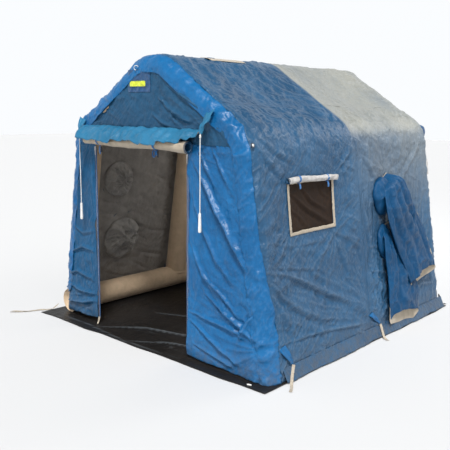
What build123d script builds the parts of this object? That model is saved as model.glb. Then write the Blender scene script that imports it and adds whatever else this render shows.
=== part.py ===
from build123d import *
import os
from math import atan2, cos, hypot, radians, sin, tan

# An air-beam shelter: three inflated arches on an inflated base, a fabric skin over them,
# a doorway with its door rolled up, windows, duct sleeves, straps and pull cords.
# Millimetres. +Z is up, the doorway faces -Y, and the origin is on the ground under the middle.

# Outline of the skin, right half: foot of the wall, sharp eave corner, sharp ridge corner.
HALF_GROUND = 1450
HALF_EAVE = 1145
EAVE_Z = 1975
HALF_RIDGE = 163
RIDGE_Z = 2614
BEND_R = 390
HALF_DEPTH = 1520
SKIN = 4
FLOOR = 3
HEM_Z = 5

# Inflated beams.
BEAM_R = 125
BEAM_INSET = BEAM_R + SKIN + 1
BASE_Z = 131
ARCH_Y = HALF_DEPTH - BEAM_INSET
RIDGE_BEAM_R = 90
EAVE_BEAM_R = 60
JOIN_GAP = 1.5
LEG_GAP = 26

# Seams between the panels of the skin.
ROOF_SEAM = 780
HEADER_Z = 1858
SEAM_GAP = 2
BAND = 130

# Doorway.
DOOR_LEFT = -781
DOOR_RIGHT = 511
PANEL_HEM_Z = 45

# Door rolled up under its hood.
ROLL_R = 50
ROLL_Y = -1576
ROLL_Z = 1845
ROLL_LEFT = -840
ROLL_RIGHT = 565
HOOD_TOP_Y = -1524
HOOD_TOP_Z = 1990
HOOD_FALL = 188
HOOD_LEAN = 45

# Zips.
CHAIN_W = 12
CHAIN_BOTTOM = 60
CHAIN_TOP = 1790
SLIDER_Z = 1745
SLIDER_H = 36

# Windows, one in each long wall, given as y and height of the middle of the trim.
WINDOW_Y = -730
WINDOW_Z = 1355
WINDOW_W = 680
WINDOW_H = 450
TRIM = 25
FLAP_R = 24

# Duct sleeves: y and height of each port, and its radius.
RIGHT_PORTS = [(450, 1400, 150), (450, 720, 190)]
LEFT_PORTS = [(-920, 1400, 150), (-820, 720, 190)]

# Pull cords: x and y of the cord, its top, and the top and bottom of its handle.
LEFT_PULL = (-936, -1587, 1925, 1223, 1058)
RIGHT_PULL = (740, -1612, 1958, 1323, 1160)
CORD_D = 8
HANDLE_R = 14

# Valve on the rounded eave of the front arch.
VALVE_Y = -1455
VALVE_Z = 1880
VALVE_R = 20
BORE_R = 13

# Webbing.
STRAP_W = 25
STRAP_T = 2.5

os.makedirs("parts", exist_ok=True)

WALL_LEAN = atan2(HALF_GROUND - HALF_EAVE, EAVE_Z)
ROOF_SLOPE = atan2(RIDGE_Z - EAVE_Z, HALF_EAVE - HALF_RIDGE)
WALL_OUT = (cos(WALL_LEAN), sin(WALL_LEAN))
ROOF_OUT = (sin(ROOF_SLOPE), cos(ROOF_SLOPE))
TOP_OUT = (0, 1)


def save(node, solids):
    """Write one node, from one solid or a list of separate ones."""
    shape = Compound(children=list(solids)) if isinstance(solids, (list, tuple)) else solids
    shape.label = node
    export_step(shape, f"parts/{node}.step")


def inset_corner(corner, out_a, out_b, inset):
    """A corner of the outline, moved inwards with the two lines that meet there."""
    share = inset / (1 + out_a[0] * out_b[0] + out_a[1] * out_b[1])
    return corner[0] - share * (out_a[0] + out_b[0]), corner[1] - share * (out_a[1] + out_b[1])


def eave(inset):
    return inset_corner((HALF_EAVE, EAVE_Z), WALL_OUT, ROOF_OUT, inset)


def ridge(inset):
    return inset_corner((HALF_RIDGE, RIDGE_Z), ROOF_OUT, TOP_OUT, inset)


def wall_x(z, out=0):
    """Where the wall's outer face, moved out by a distance, is at a height."""
    return HALF_GROUND - z * tan(WALL_LEAN) + out / cos(WALL_LEAN)


def outline(inset):
    """The closed outline of the shelter in x and z, moved inwards, with its bends rounded."""
    right = [(wall_x(0, -inset), 0), eave(inset), ridge(inset)]
    left = [(-x, z) for x, z in reversed(right)]
    face = make_face(Polyline(*right, *left, close=True))
    bends = [v for v in face.vertices() if v.Y > EAVE_Z / 2]
    return fillet(bends, BEND_R - inset)


def between(sketch, front, back):
    """A sketch in x and z, made solid from y = front to y = back."""
    plane = Plane(origin=(0, back, 0), x_dir=(1, 0, 0), z_dir=(0, -1, 0))
    return extrude(plane * sketch, amount=back - front)


def across(sketch, left, right):
    """A sketch in y and z, made solid from x = left to x = right."""
    plane = Plane(origin=(left, 0, 0), x_dir=(0, 1, 0), z_dir=(1, 0, 0))
    return extrude(plane * sketch, amount=right - left)


def block(x, y, z):
    """A box given by its limits along each axis."""
    middle = [(low + high) / 2 for low, high in (x, y, z)]
    return Pos(*middle) * Box(x[1] - x[0], y[1] - y[0], z[1] - z[0])


def polygon(*points):
    return make_face(Polyline(*points, close=True))


def rod(start, end, radius):
    """A round bar between two points."""
    axis = Vector(*end) - Vector(*start)
    return extrude(Plane(origin=start, z_dir=axis) * Circle(radius), amount=axis.length)


def half_turn(shape):
    """The same piece on the opposite wall: the shelter turned half round its middle."""
    return Rot(0, 0, 180) * shape


# The right wall's plane: its x is the shelter's y, its y runs up the wall, its z points out.
WALL_PLANE = Plane(origin=(HALF_GROUND, 0, 0), x_dir=(0, 1, 0), z_dir=(WALL_OUT[0], 0, WALL_OUT[1]))


def on_wall(sketch, near, far):
    """A sketch on the right wall, made solid between two distances out from its outer face."""
    return extrude(WALL_PLANE.offset(near) * sketch, amount=far - near)


def up_wall(z):
    return z / cos(WALL_LEAN)


# ---------------------------------------------------------------- inflated frame

def arch(y):
    """One arch, standing on the two side base beams."""
    right = [(wall_x(BASE_Z, -BEAM_INSET), BASE_Z), eave(BEAM_INSET), ridge(BEAM_INSET)]
    points = [(x, y, z) for x, z in right] + [(-x, y, z) for x, z in reversed(right)]
    path = FilletPolyline(*points, radius=BEND_R - BEAM_INSET)
    start = Plane(origin=path @ 0, z_dir=path % 0)
    tube = sweep(start * Circle(BEAM_R), path=path)
    foot_x = wall_x(BASE_Z, -BEAM_INSET)
    for side in (-1, 1):
        x = side * foot_x
        tube -= rod((x, y - 2 * BEAM_R, BASE_Z), (x, y + 2 * BEAM_R, BASE_Z), BEAM_R + JOIN_GAP)
    return tube


def bay_spans():
    """The clear length of each bay, between the sides of neighbouring arches."""
    edge = BEAM_R + JOIN_GAP
    return [(-ARCH_Y + edge, -edge), (edge, ARCH_Y - edge)]


def purlins(x, z, radius):
    """One beam in each bay, from arch to arch."""
    return [rod((x, start, z), (x, end, z), radius) for start, end in bay_spans()]


def frame():
    save("front_arch_beam", arch(-ARCH_Y))
    save("middle_arch_beam", arch(0))
    save("rear_arch_beam", arch(ARCH_Y))
    save("ridge_beams", purlins(0, RIDGE_Z - SKIN - 1 - RIDGE_BEAM_R, RIDGE_BEAM_R))
    bend_x, bend_z = eave(BEND_R)
    bisector = (WALL_OUT[0] + ROOF_OUT[0], WALL_OUT[1] + ROOF_OUT[1])
    reach = (BEND_R - SKIN - 1 - EAVE_BEAM_R) / hypot(*bisector)
    eave_x = bend_x + reach * bisector[0]
    eave_z = bend_z + reach * bisector[1]
    save("right_eave_beams", purlins(eave_x, eave_z, EAVE_BEAM_R))
    save("left_eave_beams", purlins(-eave_x, eave_z, EAVE_BEAM_R))
    base_x = wall_x(BASE_Z, -BEAM_INSET)
    end = HALF_DEPTH - SKIN - 1
    save("right_base_beam", rod((base_x, -end, BASE_Z), (base_x, end, BASE_Z), BEAM_R))
    save("left_base_beam", rod((-base_x, -end, BASE_Z), (-base_x, end, BASE_Z), BEAM_R))
    inner = base_x - BEAM_R - LEG_GAP
    save("rear_base_beam", rod((-inner, ARCH_Y, BASE_Z), (inner, ARCH_Y, BASE_Z), BEAM_R))


# ---------------------------------------------------------------- skin

def shell(front, back):
    """The skin over the arches, between two places along y, open underneath."""
    hoop = between(outline(0), front, back) - between(outline(SKIN), front, back)
    return hoop - block((-2000, 2000), (front, back), (-10, HEM_Z))


def side_part(front, back, side):
    """The wall and the lower roof on one side of a bay, below the roof seam."""
    x = (ROOF_SEAM, 2000) if side > 0 else (-2000, -ROOF_SEAM)
    return shell(front, back) & block(x, (front, back), (-10, 3000))


def window_hole():
    opening = Pos(WINDOW_Y, up_wall(WINDOW_Z)) * Rectangle(WINDOW_W - 2 * TRIM, WINDOW_H - 2 * TRIM)
    return on_wall(opening, -3 * SKIN, SKIN)


def port_disc(port, radius, near, far):
    y, z, _ = port
    return on_wall(Pos(y, up_wall(z)) * Circle(radius), near, far)


def port_holes(ports):
    return [port_disc(port, port[2], -3 * SKIN, SKIN) for port in ports]


def mirrored_ports():
    """The left wall's ports as they are on the right wall before the half turn."""
    return [(-y, z, radius) for y, z, radius in LEFT_PORTS]


def covers():
    band_back = -HALF_DEPTH + BAND
    rim = between(outline(0), -HALF_DEPTH, -HALF_DEPTH + SKIN)
    rim -= between(outline(BAND), -HALF_DEPTH, -HALF_DEPTH + SKIN)
    rim -= block((-2000, 2000), (-HALF_DEPTH, 0), (-10, HEM_Z))
    band = shell(-HALF_DEPTH, band_back) + rim
    save("front_arch_cover", band - valve_bore())
    end = HALF_DEPTH - SKIN
    top = shell(band_back, end) & block((-ROOF_SEAM, ROOF_SEAM), (band_back, end), (0, 3000))
    save("ridge_cover", top)
    right_front = side_part(band_back, 0, 1)
    save("right_front_cover", right_front - window_hole())
    right_rear = side_part(0, end, 1)
    save("right_rear_cover", right_rear - port_holes(RIGHT_PORTS))
    left_rear = side_part(0, end, -1)
    save("left_rear_cover", left_rear - half_turn(window_hole()))
    left_front = side_part(band_back, 0, -1)
    for hole in port_holes(mirrored_ports()):
        left_front -= half_turn(hole)
    save("left_front_cover", left_front)
    rear = between(outline(0), end, HALF_DEPTH)
    save("rear_wall", rear - block((-2000, 2000), (0, 2000), (-10, HEM_Z)))


def front_panels():
    plate = between(outline(BAND), -HALF_DEPTH, -HALF_DEPTH + SKIN)
    y = (-HALF_DEPTH - 10, 0)
    save("front_gable", plate & block((-2000, 2000), y, (HEADER_Z, 3000)))
    low = (PANEL_HEM_Z, HEADER_Z - SEAM_GAP)
    save("front_left_panel", plate & block((-2000, DOOR_LEFT), y, low))
    save("front_right_panel", plate & block((DOOR_RIGHT, 2000), y, low))


def skirts():
    """Mud flaps sewn to the foot of the walls, which lean out to the edge of the ground sheet."""
    top, foot, lean, cloth = 120, 6, 40, 3
    flap = [(0.5, top), (0.5 + cloth, top), (lean, foot), (lean - cloth, foot)]
    right = between(polygon(*[(wall_x(z, out), z) for out, z in flap]), -ARCH_Y, HALF_DEPTH)
    save("side_skirts", [right, mirror(right, about=Plane.YZ)])
    back = polygon(*[(HALF_DEPTH + out, z) for out, z in flap])
    save("rear_skirt", across(back, -HALF_EAVE, HALF_EAVE))


def ground_sheet():
    corners = [(-1490, -1740), (1480, -1630), (1490, 1562), (-1490, 1562)]
    save("ground_sheet", extrude(polygon(*corners), amount=FLOOR))


# ---------------------------------------------------------------- doorway

def ring_round(x, y, z, inner, wall, width):
    """A tie wound round a roll that lies along x."""
    tie = Circle(inner + wall) - Circle(inner)
    plane = Plane(origin=(x - width / 2, y, z), z_dir=(1, 0, 0))
    return extrude(plane * tie, amount=width)


def door():
    start, end = (ROLL_LEFT, ROLL_Y, ROLL_Z), (ROLL_RIGHT, ROLL_Y, ROLL_Z)
    save("door_roll", rod(start, end, ROLL_R))
    places = (-620, 180)
    save("door_ties", [ring_round(x, ROLL_Y, ROLL_Z, ROLL_R + 0.5, STRAP_T, 30) for x in places])
    toggle_y = ROLL_Y + 10
    top = ROLL_Z - ROLL_R - STRAP_T - 1.5
    save("tie_toggles", [rod((x, toggle_y, top - 55), (x, toggle_y, top), 8) for x in places])
    plane = Plane(origin=(0, HOOD_TOP_Y, HOOD_TOP_Z), x_dir=(1, 0, 0),
                  z_dir=(0, -cos(radians(HOOD_LEAN)), sin(radians(HOOD_LEAN))))
    edge = [(-905, 0), (700, 0), (700, -40), (600, -110), (330, -HOOD_FALL), (-875, -HOOD_FALL)]
    save("door_hood", extrude(plane * polygon(*edge), amount=-SKIN))


def zip_chain(x):
    y = (-HALF_DEPTH - 1, -HALF_DEPTH + SKIN + 1)
    return block((x, x + CHAIN_W), y, (CHAIN_BOTTOM, CHAIN_TOP))


def zip_slider(x, bridge_side):
    """Two plates with a bridge on the doorway's side of the chain, and a pull below them."""
    play = 1.2
    plate = 5
    front = -HALF_DEPTH - 1 - play
    back = -HALF_DEPTH + SKIN + 1 + play
    if bridge_side > 0:
        span = (x + 1, x + CHAIN_W + play + plate)
        bridge = (span[1] - plate, span[1])
    else:
        span = (x - play - plate, x + CHAIN_W - 1)
        bridge = (span[0], span[0] + plate)
    z = (SLIDER_Z, SLIDER_Z + SLIDER_H)
    body = block(span, (front - plate, front), z) + block(span, (back, back + plate), z)
    body += block(bridge, (front - plate, back + plate), z)
    middle = sum(span) / 2
    return body + block((middle - 5, middle + 5), (front - plate, front - 1), (z[0] - 45, z[0] + 5))


def zips():
    save("left_zip_chain", zip_chain(DOOR_LEFT))
    save("right_zip_chain", zip_chain(DOOR_RIGHT - CHAIN_W))
    save("left_zip_slider", zip_slider(DOOR_LEFT, 1))
    save("right_zip_slider", zip_slider(DOOR_RIGHT - CHAIN_W, -1))
    tail = polygon((-1521.5, 75), (-1521.5, 62), (-1545, 6), (-1553, 6), (-1526, 75))
    save("zip_tail", across(tail, DOOR_LEFT, DOOR_LEFT + 22))


# ---------------------------------------------------------------- windows and ports

def window(prefix, place):
    """Trim, mesh and rolled flap of one window; place puts them on their wall."""
    middle = Pos(WINDOW_Y, up_wall(WINDOW_Z))
    hole = Rectangle(WINDOW_W - 2 * TRIM, WINDOW_H - 2 * TRIM)
    frame_shape = middle * (Rectangle(WINDOW_W, WINDOW_H) - hole)
    save(f"{prefix}_window_trim", place(on_wall(frame_shape, 0.3, 3)))
    screen = Rectangle(WINDOW_W - 2 * TRIM - 1, WINDOW_H - 2 * TRIM - 1)
    save(f"{prefix}_window_mesh", place(on_wall(middle * screen, -3, -1.5)))
    y = (WINDOW_Y - WINDOW_W / 2 - 12, WINDOW_Y + WINDOW_W / 2 + 22)
    start = WALL_PLANE.from_local_coords((y[0], flap_height(), flap_out()))
    end = WALL_PLANE.from_local_coords((y[1], flap_height(), flap_out()))
    save(f"{prefix}_window_flap", place(rod(tuple(start), tuple(end), FLAP_R)))


def flap_height():
    return up_wall(WINDOW_Z) + WINDOW_H / 2 + 2


def flap_out():
    return 3 + STRAP_T + 1 + FLAP_R


def window_tie(share):
    """A tie round the rolled flap, at a share of the window's width, with its loose end."""
    y = WINDOW_Y + (share - 0.5) * WINDOW_W
    origin = WALL_PLANE.from_local_coords((y - STRAP_W / 2, flap_height(), flap_out()))
    loop = Circle(FLAP_R + 0.5 + STRAP_T) - Circle(FLAP_R + 0.5)
    ring = extrude(Plane(origin=origin, z_dir=(0, 1, 0)) * loop, amount=STRAP_W)
    low = flap_height() - FLAP_R - 45
    tail = Pos(y, (low + flap_height()) / 2) * Rectangle(STRAP_W, flap_height() - low)
    out = flap_out() + FLAP_R + 0.5
    return ring + on_wall(tail, out, out + STRAP_T)


def windows():
    window("right", lambda piece: piece)
    window("left", half_turn)
    ties = [window_tie(0.2), window_tie(0.8)]
    save("window_ties", ties + [half_turn(tie) for tie in ties])


def sleeve(port, neck_out, upper, upper_out, lower, lower_out):
    """A limp duct sleeve: a neck filling its port, and two flat lengths hanging on the wall."""
    body = port_disc(port, port[2] - 1, -SKIN, neck_out)
    body += on_wall(polygon(*[(y, up_wall(z)) for y, z in upper]), *upper_out)
    return body + on_wall(polygon(*[(y, up_wall(z)) for y, z in lower]), *lower_out)


def sleeves():
    high, low = RIGHT_PORTS
    neck = 30
    y, z, r = high
    shoulder = [(y - r, z), (y, z + r), (y + r, z + r)]
    bulge = shoulder + [(y + 2 * r, z - r), (y - r, z - 2 * r)]
    hang = shoulder + [(1160, 600), (980, 470), (630, 450), (y - r, z - 2 * r)]
    right_upper = sleeve(high, neck, bulge, (6, 90), hang, (88, 150))
    save("right_upper_sleeve", right_upper)
    y, z, r = low
    bulge = [(y - r, z), (y - r / 2, z + r), (y + r, z + r), (y + 2 * r, 170), (y - r / 2, 170)]
    hang = [(y - r, z - r), (y + r, z - r), (800, 150), (640, 40), (270, 150)]
    right_lower = sleeve(low, neck, bulge, (6, 80), hang, (50, 84))
    save("right_lower_sleeve", right_lower)
    shift = LEFT_PORTS[0][0] - high[0]
    save("left_upper_sleeve", mirror(Pos(0, shift, 0) * right_upper, about=Plane.YZ))
    shift = LEFT_PORTS[1][0] - low[0]
    save("left_lower_sleeve", mirror(Pos(0, shift, 0) * right_lower, about=Plane.YZ))


def port_rings():
    """A welt round each port, on the inner face of the wall."""
    def ring(port):
        y, z, radius = port
        welt = Pos(y, up_wall(z)) * (Circle(radius + 14) - Circle(radius))
        return on_wall(welt, -SKIN - 8, -SKIN - 0.3)
    right = [ring(port) for port in RIGHT_PORTS]
    left = [half_turn(ring(port)) for port in mirrored_ports()]
    save("port_rings", right + left)


# ---------------------------------------------------------------- pull cords, valve, patches

def pull(side, x, y, top, grip_top, grip_bottom):
    save(f"{side}_pull_cord", rod((x, y, grip_top), (x, y, top), CORD_D / 2))
    grip = rod((x, y, grip_bottom), (x, y, grip_top), HANDLE_R)
    save(f"{side}_pull_handle", fillet(grip.edges(), 5))


def cord_tab(x, hook_y, hook_z, rise, width):
    """A cloth tab from the gable out to the top of a pull cord."""
    strip = polygon((-HALF_DEPTH - 1, hook_z + rise), (-HALF_DEPTH - 1, hook_z + rise - 6),
                    (hook_y, hook_z + 2), (hook_y, hook_z + 8))
    return across(strip, x - width / 2, x + width / 2)


def pulls():
    pull("left", *LEFT_PULL)
    pull("right", *RIGHT_PULL)
    left = cord_tab(LEFT_PULL[0], LEFT_PULL[1], LEFT_PULL[2], 100, 50)
    right = cord_tab(RIGHT_PULL[0], RIGHT_PULL[1], RIGHT_PULL[2], 150, 66)
    save("cord_tabs", [left, right])


def valve_plane():
    """The plane on the rounded eave where the valve sits, facing out."""
    bend_x, bend_z = eave(BEND_R)
    out_z = (VALVE_Z - bend_z) / BEND_R
    out_x = (1 - out_z ** 2) ** 0.5
    origin = (bend_x + BEND_R * out_x, VALVE_Y, VALVE_Z)
    return Plane(origin=origin, x_dir=(0, 1, 0), z_dir=(out_x, 0, out_z))


def valve_bore():
    return extrude(valve_plane().offset(-2 * SKIN) * Circle(BORE_R + 0.5), amount=4 * SKIN)


def valve():
    plane = valve_plane()
    flange = extrude(plane.offset(0.8) * Circle(VALVE_R), amount=4)
    barrel = extrude(plane.offset(-SKIN) * Circle(BORE_R), amount=SKIN + 2)
    bore = extrude(plane.offset(-2 * SKIN) * Circle(BORE_R - 1.5), amount=4 * SKIN)
    save("valve_ring", flange + barrel - bore)
    plug = extrude(plane.offset(-SKIN + 1) * Circle(BORE_R - 2.5), amount=SKIN + 5)
    bar = extrude(plane.offset(6) * Rectangle(16, 4), amount=3)
    save("valve_cap", plug + bar)


def patches():
    front = (-HALF_DEPTH - 2.5, -HALF_DEPTH - 0.3)
    save("gable_patch", block((-262, 30), front, (2288, 2482)))
    save("gable_label", block((-238, -33), (front[0] - 1.5, front[0] - 0.2), (2338, 2384)))
    loop = ring_round(-140, -HALF_DEPTH - 12, 2436 + 75, 8, 3, 20)
    save("gable_loop", loop)
    raised = between(outline(-3.5), -930, -460) - between(outline(-0.5), -930, -460)
    save("ridge_patch", raised & block((20, 150), (-1000, 0), (2000, 3000)))


# ---------------------------------------------------------------- straps

def strap(start, heading, profile):
    """Webbing in a vertical plane: profile lists distance along the heading and height."""
    plane = Plane(origin=(start[0], start[1], 0), x_dir=(heading[0], heading[1], 0),
                  z_dir=(heading[1], -heading[0], 0))
    edge = trace(Polyline(*profile), line_width=STRAP_T)
    return extrude(plane * edge, amount=STRAP_W / 2, both=True)


def strap_tab(top, foot, half_width):
    """A cloth tab sewn to the wall, which tapers down to its strap."""
    end = STRAP_W / 2 + 1.5
    left = [(top[0] - half_width, top[1]), (foot[0] - end, foot[1])]
    right = [(foot[0] + end, foot[1]), (top[0] + half_width, top[1])]
    return on_wall(polygon(*[(y, up_wall(z)) for y, z in left + right]), 0.5, 3.5)


def straps():
    flat = STRAP_T / 2 + 0.2
    front_left = [(0, 60), (72, 7), (105, flat), (330, flat), (470, 8), (500, flat)]
    save("front_left_strap", strap((-1470, -1545), (-0.52, -0.85), front_left))
    right_front = [(0, 128), (75, 60), (150, flat), (242, flat)]
    save("right_front_strap", strap((1462, -1255), (0.49, -0.87), right_front))
    middle = strap((1449, 150), (0.9, -0.44), [(0, 128), (45, 60), (95, flat), (130, flat)])
    save("middle_straps", [middle, half_turn(middle)])
    rear = strap((1405, HALF_DEPTH + 6), (0.34, 0.94), [(0, 128), (20, 70), (50, flat), (115, flat)])
    save("rear_straps", [rear, mirror(rear, about=Plane.YZ)])
    front_tab = strap_tab((-1345, 270), (-1262, 132), 32)
    middle_tab = strap_tab((30, 236), (140, 132), 26)
    save("strap_tabs", [front_tab, middle_tab, half_turn(middle_tab)])
    save("corner_toggle", rod((1268, -1600, 10), (1302, -1590, 10), 6.5))


frame()
covers()
front_panels()
skirts()
ground_sheet()
door()
zips()
windows()
sleeves()
port_rings()
pulls()
valve()
patches()
straps()
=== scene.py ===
import math

import bmesh
import bpy
import numpy as np
from mathutils import Matrix, Vector


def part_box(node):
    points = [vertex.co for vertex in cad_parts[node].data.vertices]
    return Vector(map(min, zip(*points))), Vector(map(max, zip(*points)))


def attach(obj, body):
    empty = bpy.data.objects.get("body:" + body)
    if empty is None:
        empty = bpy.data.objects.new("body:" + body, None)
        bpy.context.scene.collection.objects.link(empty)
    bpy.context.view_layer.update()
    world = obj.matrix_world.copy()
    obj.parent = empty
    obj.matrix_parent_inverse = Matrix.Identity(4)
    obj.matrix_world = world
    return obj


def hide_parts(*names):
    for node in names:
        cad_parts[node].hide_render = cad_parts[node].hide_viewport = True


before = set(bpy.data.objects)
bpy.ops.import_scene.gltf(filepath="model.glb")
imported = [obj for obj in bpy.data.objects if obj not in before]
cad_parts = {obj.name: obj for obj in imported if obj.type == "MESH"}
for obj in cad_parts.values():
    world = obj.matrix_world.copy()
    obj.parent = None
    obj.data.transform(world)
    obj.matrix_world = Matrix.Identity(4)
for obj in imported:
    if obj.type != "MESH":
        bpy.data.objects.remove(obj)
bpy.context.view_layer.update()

# An inflatable air-beam shelter, in metres, in the CAD model's frame: +Z up, doorway towards -Y.
# The driving sizes are those of the CAD model.
HALF_GROUND = 1.450
HALF_EAVE = 1.145
EAVE_Z = 1.975
HALF_RIDGE = 0.163
RIDGE_Z = 2.614
BEND_R = 0.390
HALF_DEPTH = 1.520
BEAM_R = 0.125
WRAP = 0.130
ARCH_Y = HALF_DEPTH - WRAP
BASE_Z = 0.131
ROOF_SEAM_X = 0.780
DOOR_LEFT = -0.781
DOOR_RIGHT = 0.511
HEADER_Z = 1.858
CLOTH = 0.0025
WALL_LEAN = math.atan2(HALF_GROUND - HALF_EAVE, EAVE_Z)
ROOF_SLOPE = math.atan2(RIDGE_Z - EAVE_Z, HALF_EAVE - HALF_RIDGE)
WALL_OUT = np.array([math.cos(WALL_LEAN), math.sin(WALL_LEAN)])
ROOF_OUT = np.array([math.sin(ROOF_SLOPE), math.cos(ROOF_SLOPE)])
TOP_OUT = np.array([0.0, 1.0])


# ---------------- numbers

def smooth(low, high, value):
    """0 below low, 1 above high, and a smooth step between them."""
    t = np.clip((value - low) / (high - low), 0.0, 1.0)
    return t * t * (3 - 2 * t)


def noise(u, v, seed):
    """Smooth value noise from -1 to 1 on a unit lattice."""
    size = 64
    table = np.random.default_rng(seed).uniform(-1, 1, (size, size))
    iu, iv = np.floor(u).astype(int), np.floor(v).astype(int)
    fu, fv = u - iu, v - iv
    wu, wv = fu * fu * (3 - 2 * fu), fv * fv * (3 - 2 * fv)
    a = table[iu % size, iv % size]
    b = table[(iu + 1) % size, iv % size]
    c = table[iu % size, (iv + 1) % size]
    d = table[(iu + 1) % size, (iv + 1) % size]
    return (a * (1 - wu) + b * wu) * (1 - wv) + (c * (1 - wu) + d * wu) * wv


def crease(u, v, seed, octaves=3):
    """Noise with sharp crests, from about 0 to 1, like the creases of crumpled coated cloth."""
    total, weight, share = 0.0, 0.0, 1.0
    for octave in range(octaves):
        scale = 2.03 ** octave
        bend = 0.35 * noise(u * scale * 0.7 + 9.1, v * scale * 0.7 + 3.7, seed + 31 + octave)
        ridge = 1 - np.abs(noise(u * scale + bend, v * scale - bend, seed + octave))
        total = total + share * ridge ** 2.2
        weight += share
        share *= 0.5
    return total / weight


RAY_STRENGTH = 0.95    # of all tension folds
FOLD_STRENGTH = 1.6    # of all drawn folds


def rays(u, v, focus, reach, count, height, seed, start=0.04):
    """Tension folds that spread from a focus and die away at their reach."""
    du, dv = u - focus[0], v - focus[1]
    r = np.hypot(du, dv) + 1e-6
    turn = count / (2 * math.pi)
    drift = 0.8 * r / reach
    pattern = crease(turn * du / r + drift, turn * dv / r - drift, seed, 2) - 0.42
    fade = smooth(start * 0.3, start * 2.5, r) * (1 - smooth(0.45 * reach, reach, r))
    return RAY_STRENGTH * height * pattern * fade


def with_rays(lift, u, v, focuses, seed_of):
    """Adds the tension folds of each focus; seed_of gives a focus its seed."""
    for focus, reach, count, height in focuses:
        lift += rays(u, v, focus, reach, count, height, seed_of(focus, reach))
    return lift


def fold(u, v, line, width, height):
    """One soft fold along a bent line: a crest with a shallow trough on each side."""
    line = np.array(line, float)
    best = np.full(u.shape, 1e9)
    side = np.zeros(u.shape)
    along = np.zeros(u.shape)
    steps = np.hypot(*np.diff(line, axis=0).T)
    done = 0.0
    for a, b, step in zip(line[:-1], line[1:], steps):
        d = (b - a) / step
        t = np.clip((u - a[0]) * d[0] + (v - a[1]) * d[1], 0, step)
        du, dv = u - a[0] - t * d[0], v - a[1] - t * d[1]
        dist = np.hypot(du, dv)
        near = dist < best
        best = np.where(near, dist, best)
        side = np.where(near, np.sign(du * d[1] - dv * d[0]), side)
        along = np.where(near, done + t, along)
        done += step
    share = along / done
    fade = np.clip(np.sin(math.pi * np.clip(share, 0.02, 0.98)), 0, 1) ** 0.6
    x = side * best / (width * (0.45 + 0.75 * share))
    crest = np.exp(-x * x * 1.6) - 0.55 * np.exp(-((x - 1.5) ** 2) * 1.1)
    return FOLD_STRENGTH * height * fade * crest


def with_folds(lift, u, v, folds, wide=1.0, high=1.0, share=1.0):
    """Adds a table's folds, made wider and higher by the given factors."""
    for line, width, height in folds:
        lift += fold(u, v, line, wide * width, high * height) * share
    return lift


# ---------------- outline of the shelter

def rounded(corners, radius, step=0.01):
    """Points along a bent line whose inner corners are arcs of one radius."""
    corners = [np.array(c, float) for c in corners]
    points = [corners[0]]
    for before, corner, after in zip(corners, corners[1:], corners[2:]):
        a = (corner - before) / np.linalg.norm(corner - before)
        b = (after - corner) / np.linalg.norm(after - corner)
        turn = math.acos(float(np.clip(a @ b, -1, 1)))
        start = corner - a * radius * math.tan(turn / 2)
        inward = b - a * (a @ b)
        inward /= np.linalg.norm(inward)
        centre = start + inward * radius
        count = max(3, int(radius * turn / step))
        for angle in np.linspace(0, turn, count):
            points.append(centre + radius * (a * math.sin(angle) - inward * math.cos(angle)))
    points.append(corners[-1])
    return np.array(points)


def inset_corner(corner, out_a, out_b, inset):
    """A corner moved inwards from both of its sides."""
    return np.array(corner) - inset / (1 + out_a @ out_b) * (out_a + out_b)


def wall_x(z, out=0.0):
    """How far out the right wall stands at a height."""
    return HALF_GROUND - z * math.tan(WALL_LEAN) + out / math.cos(WALL_LEAN)


class Outline:
    """The shelter's cross-section from the right foot over the ridge to the left foot."""

    def __init__(self, inset=0.0, foot_z=0.006):
        right = [(wall_x(foot_z, -inset), foot_z), inset_corner((HALF_EAVE, EAVE_Z), WALL_OUT, ROOF_OUT,
            inset), inset_corner((HALF_RIDGE, RIDGE_Z), ROOF_OUT, TOP_OUT, inset)]
        left = [(-x, z) for x, z in reversed(right)]
        line = rounded(right + left, BEND_R - inset)
        gaps = np.hypot(*np.diff(line, axis=0).T)
        keep = np.concatenate([[True], gaps > 1e-5])
        line = line[keep]
        self.s = np.concatenate([[0], np.cumsum(np.hypot(*np.diff(line, axis=0).T))])
        self.line = line
        self.length = self.s[-1]
        seg = np.diff(line, axis=0)
        angle = np.unwrap(np.arctan2(seg[:, 1], seg[:, 0]))
        middle = (self.s[1:] + self.s[:-1]) / 2
        self.angle_s, self.angle = middle, angle

    def at(self, s):
        x = np.interp(s, self.s, self.line[:, 0])
        z = np.interp(s, self.s, self.line[:, 1])
        angle = np.interp(s, self.angle_s, self.angle)
        return x, z, np.sin(angle), -np.cos(angle)

    def s_at(self, z):
        """Arc length where the right half reaches a height."""
        half = self.s <= self.length / 2
        return np.interp(z, self.line[half, 1], self.s[half])

    def s_at_x(self, x):
        half = self.s <= self.length / 2
        return np.interp(-x, -self.line[half, 0], self.s[half])


SKIN = Outline()
S_BASE = SKIN.s_at(0.25)
S_EAVE = SKIN.s_at(1.80)
S_EAVE_END = SKIN.s_at_x(0.98)
S_SEAM = SKIN.s_at_x(ROOF_SEAM_X)
S_RIDGE = SKIN.s_at_x(0.27)
CORNER = WRAP * math.pi / 2


def skin_points(s, v, lift):
    """Points of the skin at arc length s and depth v; past an arch's middle v wraps round the arch."""
    x, z, nx, nz = SKIN.at(s)
    over = np.maximum(np.abs(v) - ARCH_Y, 0)
    angle = np.minimum(over / WRAP, math.pi / 2)
    flat = np.maximum(over - CORNER, 0)
    drop = -WRAP * (1 - np.cos(angle)) - flat
    y = np.sign(v) * (np.minimum(np.abs(v), ARCH_Y) + WRAP * np.sin(angle))
    out = drop + lift * np.cos(angle)
    return np.stack([x + nx * out, y + np.sign(v) * lift * np.sin(angle), np.maximum(z + nz * out, 0.004)],
        -1)


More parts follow.
